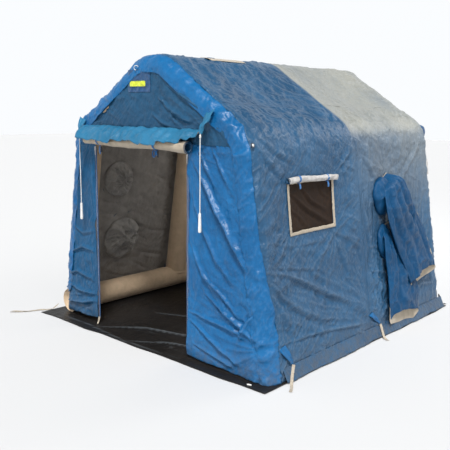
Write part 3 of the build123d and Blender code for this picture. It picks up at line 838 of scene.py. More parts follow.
def arch_band():
    """The bright cover wrapped round the front arch."""
    s = np.linspace(0, SKIN.length, int(SKIN.length / 0.015))
    t = np.linspace(0, 1, 24)
    ss, tt = np.meshgrid(s, t, indexing="ij")
    rear = front_seam(ss) + 0.004
    front = -(ARCH_Y + CORNER + 0.03)
    vv = rear + (front - rear) * tt
    _, z, _, _ = SKIN.at(ss)
    foot = 1 - smooth(0.25, 0.85, z)
    lift = (0.022 - 0.010 * smooth(2.1, 2.5, z)) * (crease(ss * 6.0, vv * 9.0, 401, 3) - 0.30)
    lift += 0.0090 * noise(ss * 18.0, vv * 14.0, 406) * (0.5 + 0.5 * noise(ss * 2.0, 0 * ss, 407))
    lift += 0.0230 * (streaks(ss, vv * 1.6, math.radians(68), 408, 5.0, 13.0) + 0.1) * (1
        - 0.5 * smooth(2.1, 2.5, z))
    lift += foot * 0.045 * (crease(ss * 6.5, vv * 6.5, 402, 3) - 0.4)
    puckers = noise(ss * 38.0, vv * 4.0, 403)
    lift += 0.0035 * puckers * np.exp(-tt / 0.22) * np.minimum(1, tt * 12)
    lift += 0.0030 * noise(ss * 30.0, vv * 3.0, 404) * smooth(0.6, 0.95, tt) * (1 - smooth(0.97, 1.0, tt))
    points = skin_points(ss, vv, np.maximum(lift, -0.002))
    x, z = points[..., 0], points[..., 2]
    pulled_back = (x < 0) & (z < 0.235 + 0.03 * noise(x * 9, z * 9, 405)) & (points[..., 1] < -1.415)
    obj = sheet_piece("front_arch_band", points, BRIGHT, SHADED_INNER, keep=~pulled_back[1:, 1:], flip=True,
        crest=crest_of(lift), replaces=["front_arch_cover"], slot="bright_skin")
    return cloth(obj, (0.20, SKIN.length))


EDGE = Outline(WRAP - 0.012)


def edge_x(z):
    """Half width of the flat end inside the arch's rounded cover, at a height."""
    half = EDGE.s <= EDGE.length / 2
    return np.interp(z, EDGE.line[half, 1], EDGE.line[half, 0])


def off_beam(x, z, lift):
    """Relief of an end wall that never sinks into the arch beam behind its edge."""
    return np.maximum(lift, -0.004 - 0.12 * smooth(0.05, 0.16, edge_x(z) - np.abs(x)))


def end_panel(name, z_low, z_high, x_left, x_right, relief, material, face=-1, hem=None, step=0.010,
        **words):
    """A flat end panel between two edges given as functions of height; relief(x, z) lifts it outwards."""
    z = np.linspace(0, 1, int((z_high - z_low) / step))
    t = np.linspace(0, 1, max(8, int(np.max(x_right(z_low) - x_left(z_low)) / step)))
    zz, tt = np.meshgrid(z, t, indexing="ij")
    bottom = z_low if hem is None else hem(tt)
    zz = bottom + (z_high - bottom) * zz
    xx = x_left(zz) + (x_right(zz) - x_left(zz)) * tt
    lift = relief(xx, zz)
    points = np.stack([xx, face * (HALF_DEPTH + lift), zz], -1)
    obj = sheet_piece(name, points, material, SHADED_INNER, flip=face > 0, crest=crest_of(lift),
        fade=painted_reflection_share(points) if face > 0 else None, **words)
    wide, high = float(np.max(xx) - np.min(xx)), z_high - z_low
    mean = float(np.mean(x_right(zz[:, 0]) - x_left(zz[:, 0])))
    return cloth(obj, (wide, high), area=mean * high)


RIGHT_PANEL_FOLDS = [
    ([(0.60, 1.70), (0.83, 1.38), (0.97, 1.20), (1.10, 1.00), (1.26, 0.80)], 0.045, 0.020),
    ([(0.56, 1.45), (0.70, 1.15), (0.86, 0.92), (1.05, 0.74)], 0.040, 0.012),
    ([(0.66, 0.80), (0.90, 0.65), (1.10, 0.50)], 0.022, 0.013),
    ([(0.70, 0.63), (0.96, 0.50), (1.16, 0.40), (1.30, 0.32)], 0.024, 0.014),
    ([(0.53, 0.43), (0.74, 0.41), (0.96, 0.39), (1.20, 0.34)], 0.026, 0.012),
    ([(0.53, 0.36), (0.74, 0.27), (0.93, 0.18), (1.12, 0.11)], 0.024, 0.012),
    ([(0.54, 1.04), (0.69, 0.79), (0.82, 0.66)], 0.030, 0.010),
    ([(0.62, 1.84), (0.72, 1.69), (0.84, 1.52)], 0.028, 0.010),
    ([(0.78, 1.84), (0.90, 1.66), (1.00, 1.50)], 0.030, 0.009),
    ([(1.22, 1.45), (1.14, 1.30), (1.10, 1.15)], 0.024, 0.007),
    ([(0.58, 0.16), (0.80, 0.12), (1.05, 0.07)], 0.022, 0.008),
    ([(1.34, 0.62), (1.20, 0.50), (1.10, 0.30)], 0.030, 0.012),
]
LEFT_PANEL_FOLDS = [
    ([(-0.83, 1.76), (-0.83, 1.40), (-0.79, 1.03), (-0.80, 0.60)], 0.018, 0.010),
    ([(-0.90, 1.78), (-0.97, 1.54), (-1.06, 1.36), (-1.10, 1.10)], 0.030, 0.012),
    ([(-1.10, 1.66), (-1.14, 1.32), (-1.26, 0.96)], 0.035, 0.012),
    ([(-1.30, 0.33), (-1.08, 0.30), (-0.82, 0.30)], 0.026, 0.014),
    ([(-1.38, 0.14), (-1.18, 0.16), (-0.99, 0.18), (-0.82, 0.24)], 0.026, 0.013),
    ([(-1.26, 0.66), (-1.03, 0.76), (-0.83, 0.74)], 0.026, 0.010),
    ([(-1.32, 0.42), (-1.12, 0.49), (-0.85, 0.44)], 0.026, 0.011),
    ([(-1.22, 0.98), (-1.02, 0.90), (-0.84, 0.94)], 0.024, 0.007),
]


def panel_relief(folds, focuses, seed, jamb):
    """The relief of a front panel whose doorway edge is at jamb."""
    def relief(x, z):
        lean = math.radians(-52 if jamb > 0 else 62)
        lift = crumple(x * 1.2, z * 1.2, seed, 0.9) + 0.0130 * streaks(x, z, lean, seed + 50, 2.0, 13.0)
        lift += 0.0100 * streaks(x, z, lean * 0.45, seed + 60, 2.4, 13.0) * (1 - smooth(0.5, 1.1, z))
        lift += 0.0080 * streaks(x, z, lean * 1.5, seed + 70, 2.4, 19.0)
        lift = with_folds(lift, x, z, folds, 0.80, 1.5)
        lift = with_rays(lift, x, z, focuses, lambda focus, reach: seed + int(100 * reach))
        flare = (1 - smooth(0.05, 0.45, z)) * 0.020
        near_jamb = np.exp(-np.abs(x - jamb) / 0.05)
        slack = 0.006 * noise(z * 6.0, 0 * z, seed + 9) * near_jamb
        edge = smooth(0.0, 0.05, edge_x(z) - np.abs(x))
        return off_beam(x, z, (lift + flare + slack) * (0.25 + 0.75 * edge) - 0.004 * (1 - edge))
    return relief


GABLE_FOLDS = [
    ([(0.14, 2.24), (0.30, 2.14), (0.52, 2.05)], 0.024, 0.011),
    ([(0.24, 2.35), (0.42, 2.26), (0.59, 2.19), (0.76, 2.10)], 0.026, 0.012),
    ([(0.05, 2.10), (0.20, 2.02), (0.34, 1.99)], 0.022, 0.008),
    ([(0.36, 2.02), (0.26, 2.14), (0.14, 2.24)], 0.020, 0.006),
    ([(0.20, 2.18), (0.38, 2.08), (0.60, 2.03)], 0.018, 0.008),
    ([(-0.90, 2.02), (-0.70, 2.12), (-0.52, 2.26)], 0.028, 0.006),
]


def gable_relief(x, z):
    """Relief of the gable's cloth, which the patches sewn on it follow."""
    lift = crumple(x * 1.1, z * 1.3, 560, 0.8) + 0.0130 * streaks(x, z, math.radians(-32), 575, 2.4, 13.0)
    lift += 0.0090 * streaks(x, z, math.radians(48), 576, 2.4, 16.0)
    lift = with_folds(lift, x, z, GABLE_FOLDS)
    lift += rays(x, z, (0.74, 2.10), 0.7, 26, 0.012, 571)
    lift += rays(x, z, (-0.93, 2.02), 0.5, 22, 0.008, 572)
    edge = smooth(0.0, 0.05, edge_x(z) - np.abs(x))
    return off_beam(x, z, lift * (0.2 + 0.8 * edge) - 0.004 * (1 - edge) - 0.006 * np.cos(x * 1.3))


def front_panels():
    """The cloth of the front: right and left of the doorway, and the gable."""
    relief = panel_relief(RIGHT_PANEL_FOLDS, [((0.55, 1.80), 0.9, 26, 0.012),
        ((1.36, 0.30), 0.8, 26, 0.014), ((0.53, 0.38), 0.6, 22, 0.010)], 500, DOOR_RIGHT)
    end_panel("front_right_drape", 0.03, HEADER_Z + 0.004, lambda z: 0 * z + DOOR_RIGHT
        + 0.004 * noise(z * 5, 0 * z, 5), edge_x, relief, BRIGHT,
        hem=lambda t: 0.034 - 0.022 * t + 0.006 * noise(t * 9, 0 * t, 6), replaces=["front_right_panel"],
        slot="bright_skin")
    relief = panel_relief(LEFT_PANEL_FOLDS, [((-0.83, 1.80), 0.8, 24, 0.011),
        ((-1.36, 0.20), 0.7, 26, 0.012), ((-0.80, 0.25), 0.6, 24, 0.012)], 540, DOOR_LEFT)
    end_panel("front_left_drape", 0.05, HEADER_Z + 0.004, lambda z: -edge_x(z),
        lambda z: 0 * z + DOOR_LEFT + 0.006 * noise(z * 4, 0 * z, 7), relief, SHADED_DRAPE,
        hem=lambda t: 0.040 + 0.022 * t + 0.008 * noise(t * 6, 0 * t, 8), replaces=["front_left_panel"],
        slot="bright_skin")

    end_panel("front_gable_cloth", HEADER_Z, RIDGE_Z - WRAP + 0.010, lambda z: -edge_x(z), edge_x,
        gable_relief, SHADED_GABLE, replaces=["front_gable"], slot="bright_skin")


REAR_WALL_FOCUSES = [
    ((1.3, 0.2), 0.9, 28, 0.012), ((-1.3, 0.2), 0.9, 28, 0.012),
    ((1.05, 1.85), 0.8, 26, 0.012), ((-1.05, 1.85), 0.8, 26, 0.012), ((0.0, 2.45), 0.8, 24, 0.008),
]


def rear_panel():
    """The rear wall's cloth."""
    def relief(x, z):
        lift = crumple(x, z, 600, 1.3)
        lift = with_rays(lift, x, z, REAR_WALL_FOCUSES, lambda focus, _: 600 + int(10 * focus[0]))
        seams = np.exp(-np.abs(np.abs(x) - 0.62) / 0.007) + np.exp(-np.abs(z - 1.93) / 0.007)
        edge = smooth(0.0, 0.05, edge_x(z) - np.abs(x))
        hang = -0.020 * np.sin(math.pi * smooth(0.2, 1.9, z)) * np.cos(x * 1.1)
        lift = (lift + 0.0025 * seams + hang) * (0.2 + 0.8 * edge) - 0.004 * (1 - edge)
        return off_beam(x, z, np.maximum(lift, -0.003 - 0.12 * smooth(0.20, 0.34, z)))
    end_panel("rear_wall_cloth", 0.008, RIDGE_Z - WRAP + 0.010, lambda z: -edge_x(z), edge_x, relief, SKY_DULLED_BLUE,
        face=1, step=0.0125, replaces=["rear_wall"], slot="faded_skin")


side_cover("right_front_skin", 1, False, RIGHT_FRONT_FOLDS, FRONT_FOCUSES, 100, True, ["right_front_cover"])
side_cover("right_rear_skin", 1, True, RIGHT_REAR_FOLDS, REAR_FOCUSES, 140, False, ["right_rear_cover"])
side_cover("left_front_skin", -1, False, [], [f for f in FRONT_FOCUSES if f[0][0] < -1.2], 180, False,
    ["left_front_cover"])
side_cover("left_rear_skin", -1, True, RIGHT_REAR_FOLDS[3:], REAR_FOCUSES[1:], 220, True,
    ["left_rear_cover"])
ridge_skin()
arch_band()
front_panels()
rear_panel()


# ---------------- inflated beams

def crimps(seed, amount=0.0015):
    """Slight unevenness of an inflated tube."""
    def ripple(at, angle):
        return amount * noise(at * 7.0 + 0 * angle, 3 * np.cos(angle) + 3, seed)
    return ripple


def arch_path(y):
    """The line of an arch beam's middle."""
    core = Outline(WRAP, 0.20)
    s = np.linspace(0, core.length, 170)
    x, z, _, _ = core.at(s)
    return np.stack([x, 0 * x + y, z], -1)


def beams():
    """The inflated frame: arches, base tubes, and the tubes along the eaves and the ridge."""
    for name, y in (("front_arch_beam", -ARCH_Y), ("middle_arch_beam", 0.0), ("rear_arch_beam", ARCH_Y)):
        tube(name.replace("beam", "tube"), arch_path(y), BEAM_R - 0.003, BEAM,
             ripple=crimps(int(700 + 10 * y)),
             replaces=[name], slot="beam_fabric")
    base_x = wall_x(BASE_Z, -WRAP)

    def domed(share, side):
        """The rounding of a base beam's ends; the left one stays open at the front, where it shows."""
        if side < 0 and share < 0.5:
            return 1.0
        past = np.clip((abs(share - 0.5) * 2 * (HALF_DEPTH - 0.006) - (ARCH_Y + 0.02)) / 0.105, 0, 1)
        return math.sqrt(max(1 - 0.98 * past ** 2, 0.0))
    long_y = np.sin(np.linspace(-math.pi / 2, math.pi / 2, 120)) * (HALF_DEPTH - 0.006)
    for name, side in (("right", 1), ("left", -1)):
        path = np.stack([0 * long_y + side * base_x, long_y, 0 * long_y + BASE_Z], -1)
        tube(f"{name}_base_tube", path, BEAM_R - 0.004, BEAM, ripple=crimps(720 + side, 0.002),
             caps=lambda share, side=side: domed(share, side), replaces=[f"{name}_base_beam"],
             slot="beam_fabric")
    long_x = np.linspace(-1.14, 1.14, 70)
    path = np.stack([long_x, 0 * long_x + ARCH_Y, 0 * long_x + BASE_Z], -1)
    tube("rear_base_tube", path, BEAM_R - 0.002, BEAM, ripple=crimps(730, 0.003),
         replaces=["rear_base_beam"],
         slot="beam_fabric")
    low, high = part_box("right_eave_beams")
    eave = ((low[0] + high[0]) / 2, (low[2] + high[2]) / 2)
    for name, x, z, radius in (("ridge", 0.0, RIDGE_Z - 0.095, 0.090),
            ("right_eave", eave[0], eave[1], 0.060), ("left_eave", -eave[0], eave[1], 0.060)):
        made = []
        for bay, (start, end) in (("front", (-ARCH_Y + 0.10, -0.10)), ("rear", (0.10, ARCH_Y - 0.10))):
            y = np.linspace(start, end, 50)
            path = np.stack([0 * y + x, y, 0 * y + z - 0.004], -1)
            made.append(tube(f"{name}_{bay}_purlin", path, radius - 0.004, BEAM,
                ripple=crimps(740 + len(made)), slot="beam_fabric"))
        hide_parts(f"{name}_beams")


beams()


# ---------------- pull cords

def lathe(name, place, profile, material, segments=28, **words):
    """A round piece down from a point: profile is (height, radius) pairs from the top."""
    angle = np.linspace(0, 2 * math.pi, segments, endpoint=False)
    points = [(place[0] + r * math.cos(a), place[1] + r * math.sin(a), z) for z,
        r in profile for a in angle]
    faces = [f[::-1] for f in grid_faces(len(profile), segments, closed=True)]
    count = len(points)
    faces += [list(range(segments)), list(range(count - 1, count - segments - 1, -1))]
    return make_object(name, points, faces, material, **words)


def pull_cord(side, x, y, points, grip_top, grip_bottom):
    """A hanging cord with its handle; points are its line, from the top."""
    curve = bpy.data.curves.new(f"{side}_pull_line", "CURVE")
    curve.dimensions = "3D"
    curve.bevel_depth = 0.004
    curve.bevel_resolution = 5
    curve.resolution_u = 16
    curve.use_fill_caps = True
    line = curve.splines.new("NURBS")
    line.points.add(len(points) - 1)
    for point, place in zip(line.points, points):
        point.co = (*place, 1)
    line.order_u = 3
    line.use_endpoint_u = True
    cord = added(f"{side}_pull_line", curve)
    curve.materials.append(WHITE_CLOTH)
    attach(cord, f"{side}_pull")
    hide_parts(f"{side}_pull_cord")
    long = grip_top - grip_bottom
    profile = [(0.000, 0.0055), (0.004, 0.0085), (0.012, 0.0105), (0.045, 0.0115), (0.090, 0.0125),
        (0.130, 0.0138), (long - 0.012, 0.0140), (long - 0.004, 0.0125), (long, 0.0085)]
    handle = lathe(f"{side}_pull_grip", (x, y), [(grip_top - down, r) for down, r in profile],
        WHITE_PLASTIC, body=f"{side}_pull", replaces=[f"{side}_pull_handle"], slot="white_plastic")
    turns = np.linspace(0, 1, 60)
    wind = np.stack([x + 0.0062 * np.cos(turns * 6 * math.pi), y + 0.0062 * np.sin(turns * 6 * math.pi),
        points[0][2] - 0.012 - 0.020 * turns], -1)
    knot = tube(f"{side}_pull_knot", wind, 0.0032, WHITE_CLOTH, segments=10, body=f"{side}_pull",
        slot="white_cord")


pull_cord("left", -0.936, -1.587, [(-0.936, -1.587, 1.925), (-0.938, -1.588, 1.70), (-0.934, -1.587, 1.45),
    (-0.936, -1.587, 1.193)], 1.223, 1.058)
pull_cord("right", 0.740, -1.612, [(0.740, -1.612, 1.958), (0.738, -1.613, 1.75), (0.742, -1.612, 1.53),
    (0.740, -1.612, 1.293)], 1.323, 1.160)


def cord_tabs():
    """The cloth tabs that the pull cords hang from."""
    right = ribbon("right_cord_tab", [(0.770, -1.521, 2.135), (0.762, -1.552, 2.090),
        (0.748, -1.590, 2.020), (0.740, -1.611, 1.955)], [(1, -0.1, 0.3), (1, -0.1, 0.3), (1, -0.2, 0.1),
        (1, 0, 0)], [0.100, 0.095, 0.062, 0.018], LIT_HOOD, waves=0.014, seed=81, count=26, thickness=0.003,
        replaces=["cord_tabs"], slot="bright_skin")
    left = ribbon("left_cord_tab", [(-0.955, -1.521, 2.040), (-0.950, -1.548, 2.010),
        (-0.942, -1.573, 1.970), (-0.936, -1.586, 1.922)], [(1, 0.1, -0.3), (1, 0.1, -0.3), (1, 0.2, -0.1),
        (1, 0, 0)], [0.085, 0.080, 0.052, 0.018], LIT_HOOD, waves=0.012, seed=83, count=26, thickness=0.003,
        slot="bright_skin")
    cloth(right, (0.10, 0.21), "hung", area=0.0150)
    cloth(left, (0.085, 0.14), "hung", area=0.0085)


cord_tabs()


# ---------------- hood and rolled door

HOOD_TOP, HOOD_DROP = 1.990, 0.188
HOOD_LEFT, HOOD_WIDTH = -0.905, 1.605
ROLL_Y, ROLL_Z = -1.576, 1.845


def hood():
    """The flap over the doorway, gathered and hanging in waves."""
    t, d = np.meshgrid(np.linspace(0, 1, 120), np.linspace(0, 1, 22), indexing="ij")
    x = HOOD_LEFT + HOOD_WIDTH * t
    drop = np.interp(x, [HOOD_LEFT, -0.878, 0.30, 0.44, 0.60, 0.70],
        [0.150, HOOD_DROP, HOOD_DROP, 0.172, 0.105, 0.040])
    drop = drop + 0.016 * noise(x * 5.0, 0 * x, 31) + 0.008 * np.sin(x * 11.0)
    lean = np.radians(20 + 45 * d)
    steps = drop / 21
    out = np.cumsum(np.cos(lean), axis=1) * steps * 1.02
    down = np.cumsum(np.sin(lean), axis=1) * steps * 1.02
    gathers = noise(x * 26.0, d * 2.0, 32) * (0.3 + 0.7 * d) + 0.8 * noise(x * 9.0 - d, d * 1.3, 33) * d
    gathers = gathers + 1.2 * noise(x * 17.0 + 2 * d, d * 1.2, 35) * (0.4 + 0.6 * d)
    lift = 0.0130 * gathers + 0.010 * (crease(x * 6, d * 3, 34, 2) - 0.4)
    lift += 0.012 * np.exp(-((x + 0.86) / 0.05) ** 2) * d * np.sin(d * 9)
    points = np.stack([x - 0.008 * d * (x > 0.5), -1.523 - out - 0.5 * lift, HOOD_TOP - down + lift], -1)
    obj = sheet_piece("door_hood_cloth", points, LIT_HOOD, LINING, flip=False, crest=crest_of(lift),
        thickness=0.002, replaces=["door_hood"], slot="bright_skin")
    cloth(obj, (HOOD_WIDTH, HOOD_DROP), "hung", area=0.275)


def roll(name, place, length, r_in, r_out, turns, seed, material, inner, bumps=0.05, columns=70, **words):
    """A sheet rolled up on itself; place(along, up, out) puts a point of its section at a length."""
    b = np.linspace(0, 1, int(turns * 26))
    a = np.linspace(0, length, columns)
    aa, bb = np.meshgrid(a, b, indexing="ij")
    turn = 2 * math.pi * turns * (1 - bb) + 0.8
    radius = r_in + (r_out - r_in) * bb
    radius = radius * (1 + bumps * noise(aa * 9.0, 2.2 * np.cos(turn) + 5, seed)
        + 0.6 * bumps * noise(aa * 31, turn, seed + 1))
    return sheet_piece(name, place(aa, radius * np.cos(turn), radius * np.sin(turn)), material, inner,
        thickness=0.0016, **words)


ROLL_LEFT, ROLL_LENGTH = -0.840, 1.405


def door_roll_place(along, up, out):
    """The rolled door's line under the hood: it sags in the middle and is fatter to the right."""
    x = ROLL_LEFT + along
    sag = -0.010 * np.sin(math.pi * np.clip((x + 0.62) / 0.80, 0, 1)) - 0.012 * smooth(0.20, 0.56, x)
    fat = 1 + 0.10 * smooth(0.1, 0.5, x) - 0.12 * (1 - smooth(-0.84, -0.66, x))
    return np.stack([x, ROLL_Y - out * fat, ROLL_Z + 0.006 + sag + up * fat * 0.94], -1)


def tie_loop(name, place, at, radius, tail, width, material, bow=0.0, **words):
    """Webbing tied round a roll, with a hanging end, and a hanging bow where bow is not 0."""
    turn = np.radians([-150, -90, -40, 10, 60, 110, 160, 200])
    path = [place(at, radius * math.cos(a), radius * math.sin(a)) for a in turn[::-1]]
    hang = [place(at + 0.004, -radius - 0.010, 0.010), place(at + 0.006, -radius - 0.5 * tail, 0.014),
            place(at + 0.010, -radius - tail, 0.010)]
    across = place(at + 0.01, 0, 0) - place(at, 0, 0)
    made = ribbon(name, path + hang, [across] * (len(path) + 3), width, material, waves=0.001,
        seed=int(at * 90), count=60, thickness=0.0016, **words)
    if bow:
        around = np.radians(np.arange(-90, 271, 30))
        ring = [place(at - 0.012 + 0.016 * math.cos(a), -radius - 0.52 * bow + 0.5 * bow * math.sin(a),
            0.022) for a in around]
        ribbon(name + "_bow", ring, [place(0, 0, 1) - place(0, 0, 0)] * len(ring), width * 0.6, material,
               waves=0.001, seed=7, count=44, thickness=0.0016, slot=words.get("slot"))
    return made


def rolled_door():
    """The door's cloth, rolled up under the hood, with its two ties."""
    obj = roll("rolled_door_cloth", door_roll_place, ROLL_LENGTH, 0.032, 0.048, 6.0, 41, SKY_DULLED_BLUE, LINING,
        bumps=0.06, columns=100, replaces=["door_roll"], slot="lining")
    cloth(obj, (ROLL_LENGTH, 1.68), "folded")
    first = tie_loop("left_door_tie", door_roll_place, 0.220, 0.053, 0.085, 0.016, WEB_BLUE,
        replaces=["door_ties"], slot="blue_webbing")
    second = tie_loop("right_door_tie", door_roll_place, 1.020, 0.056, 0.045, 0.022, WEB_BLUE, bow=0.062,
        slot="blue_webbing")
    for tie in (first, second):
        cloth(tie, (0.020, 0.40), "hung", area=0.0075)


hood()
rolled_door()


# ---------------- windows

def wall_skin(y, z, w):
    """A point off the right wall's cloth, w out from it."""
    y, z, w = np.broadcast_arrays(np.asarray(y, float), np.asarray(z, float), np.asarray(w, float))
    s = SKIN.s_at(z)
    return skin_points(s, y, bay_sag(s, y) + w)


def turned(points):
    """The matching place after a half turn round the middle."""
    return points * np.array([-1.0, -1.0, 1.0])


def same(points):
    """The place as it is."""
    return points


NET_FOLDS = [
    ([(-0.9, 0.6), (-0.2, -0.1), (0.9, -0.9)], 0.10, 0.011),
    ([(-0.5, 0.9), (0.0, 0.2), (0.7, -0.3)], 0.08, 0.009),
    ([(-0.95, 0.0), (-0.5, -0.4), (-0.1, -0.95)], 0.09, 0.005),
    ([(0.3, 0.95), (0.55, 0.4), (0.95, 0.1)], 0.07, 0.004),
]


def window(side, place, seed):
    """A window's binding, its net and the rolled flap with its two ties."""
    wide, high = WINDOW_W / 2, WINDOW_H / 2
    ring = []
    for (y0, z0), (y1, z1) in (((-1, -1), (1, -1)), ((1, -1), (1, 1)), ((1, 1), (-1, 1)),
            ((-1, 1), (-1, -1))):
        t = np.linspace(0, 1, 30, endpoint=False)
        ring.append(np.stack([y0 + (y1 - y0) * t, z0 + (z1 - z0) * t], -1))
    ring = np.concatenate(ring + [ring[0][:1]])
    across = np.linspace(0, 1, 6)
    u = np.arange(len(ring))[:, None] * 0.2
    inset = across[None, :] * (TRIM + 0.004 + 0.003 * noise(u * 2.0, 0 * u, seed))
    y = WINDOW_Y + ring[:, :1] * (wide - inset) + 0.0016 * noise(u * 6 + 0 * across, across * 2 + 0 * u,
        seed + 1)
    z = WINDOW_Z + ring[:, 1:] * (high - inset) + 0.0016 * noise(u * 6 + 0 * across, across * 2 + 0 * u,
        seed + 2)
    w = 0.0050 + 0.0015 * np.sin(math.pi * across)[None, :] + 0.0014 * noise(u * 5 + 0 * across,
        3 * across + 0 * u, seed + 3)
    trim = sheet_piece(f"{side}_window_binding", place(wall_skin(y, z, w)), LINING, None, thickness=0.0025,
        replaces=[f"{side}_window_trim"], slot="lining")
    cloth(trim, (0.68, 0.45), "stretched", area=0.1)

    yy, zz = np.meshgrid(np.linspace(-1, 1, 60), np.linspace(-1, 1, 44), indexing="ij")
    relief = 0.007 * (crease(yy * 2.2, zz * 1.8, seed + 4, 2) - 0.4)
    relief = with_folds(relief, yy, zz, NET_FOLDS)
    border = np.minimum(1 - np.abs(yy), 1 - np.abs(zz))
    relief = relief * smooth(0, 0.15, border) - 0.004
    net = sheet_piece(f"{side}_window_net", place(wall_skin(WINDOW_Y + yy * (wide - 0.010),
        WINDOW_Z + zz * (high - 0.010), relief)), MESH, MESH, thickness=0.0012,
        replaces=[f"{side}_window_mesh"], slot="window_mesh")
    cloth(net, (WINDOW_W - 0.02, WINDOW_H - 0.02), "stretched")

    def roll_place(along, up, out):
        y = WINDOW_Y - 0.352 + np.asarray(along, float)
        droop = 0.006 * np.sin(along * 9.0) - 0.010 * np.clip((along - 0.60) / 0.1, 0, 1)
        return place(wall_skin(y, WINDOW_Z + 0.224 + droop + up, 0.030 + out))
    flap = roll(f"{side}_rolled_flap", roll_place, 0.704, 0.008, 0.026, 4.5, seed + 6, SKY_DULLED_BLUE, FLAP,
        bumps=0.12, columns=60, replaces=[f"{side}_window_flap"], slot="lining")
    cloth(flap, (0.704, 0.47), "folded")
    for k, at in enumerate((0.145, 0.560)):
        words = {"replaces": ["window_ties"]} if side == "right" and k == 0 else {}
        tie = tie_loop(f"{side}_window_tie_{k}", roll_place, at, 0.0300, 0.052, 0.024, WEB_BLUE,
            slot="blue_webbing", **words)
        cloth(tie, (0.024, 0.23), "hung")


window("right", same, 900)
window("left", turned, 930)


# ---------------- duct sleeves

def loft(name, place, left, right, out, thick, seed, mouth, **words):
    """A limp flattened tube hanging on the wall between two edges, open at its lower end."""
    knots = np.linspace(0, 1, len(left))
    t = np.linspace(0, 1, 96)
    low = np.stack([catmull(knots, np.array(left)[:, k], t) for k in (0, 1)], -1)
    high = np.stack([catmull(knots, np.array(right)[:, k], t) for k in (0, 1)], -1)
    angle = np.linspace(0, 2 * math.pi, 97)
    tt, aa = np.meshgrid(t, angle, indexing="ij")
    c, q = np.cos(aa), np.sin(aa)
    c = np.sign(c) * np.abs(c) ** 0.85
    half = (high - low) / 2
    middle = (high + low) / 2
    down = np.gradient(middle, axis=0)
    down /= np.linalg.norm(down, axis=1, keepdims=True)
    reach = mouth * (1 - q) / 2 * smooth(0.80, 1.0, tt)
    lip = 0.018 * noise(c * 3.0, 0 * c, seed + 9) * smooth(0.85, 1.0, tt)
    y = middle[:, :1] + half[:, :1] * c + down[:, :1] * (reach + lip)
    z = middle[:, 1:] + half[:, 1:] * c + down[:, 1:] * (reach + lip)
    thickness = np.interp(tt, np.linspace(0, 1, len(thick)), thick)
    w = np.interp(tt, np.linspace(0, 1, len(out)), out) + q * thickness * (1 - 0.35 * c * c)
    bend = 0.6 * np.sin(tt * 4 + seed)
    long_folds = noise(c * 3.4 + bend, tt * 2.0, seed) + 0.6 * noise(c * 7.0 + bend, tt * 2.6, seed + 1)
    crinkled = crease(y * 6.0, z * 6.0, seed + 2, 3) - 0.42
    front = smooth(-0.3, 0.3, q)
    w = w + front * (0.020 * long_folds + 0.034 * crinkled) * (1 - 0.5 * np.abs(c) ** 4)
    edge = np.exp(-((c - 0.90) / 0.035) ** 2) * front * smooth(0.05, 0.2, tt)
    w = w + 0.006 * edge
    w = np.maximum(w * (0.04 + 0.96 * smooth(0.0, 0.12, tt)), 0.006)
    lift = w * front
    points = place(wall_skin(y, z, w))
    # The crest along the fold edge makes the material paint a pale highlight line there, besides the slight
    # ridge raised above.
    crest = np.maximum(crest_of(lift), 0.9 * edge * smooth(-0.2, 0.5, noise(tt * 5, 0 * tt, seed + 4)))
    return sheet_piece(name, points, SLEEVE, LINING, crest=crest, low=np.zeros(tt.shape), thickness=0.002,
        **words)


def shoulder(name, place, centre, radii, height, seed, **words):
    """The puffed and crumpled cloth where a sleeve leaves its port."""
    r, a = np.meshgrid(np.linspace(0, 1, 40), np.linspace(0, 2 * math.pi, 81), indexing="ij")
    wobble = 1 + 0.07 * noise(2.0 * np.cos(a), 2.0 * np.sin(a), seed)
    y = centre[0] + radii[0] * r * np.cos(a) * wobble
    z = centre[1] + radii[1] * r * np.sin(a) * wobble
    dome = np.sqrt(np.clip(1 - r ** 3.0, 0, 1))
    rough = crease(y * 7.0, z * 5.0, seed + 1, 3) - 0.42
    drape = noise(y * 15 + z * 5, z * 3, seed + 2)
    w = 0.002 + height * dome + dome * (0.050 * rough + 0.020 * drape)
    points = place(wall_skin(y, z, np.maximum(w, 0.002)))
    return sheet_piece(name, points, SLEEVE, LINING, crest=crest_of(w) * (1 - smooth(0.7, 0.85, r)),
        low=np.zeros(r.shape), thickness=0.002, **words)


def mirrored(points):
    """The matching place on the other wall."""
    return points * np.array([-1.0, 1.0, 1.0])


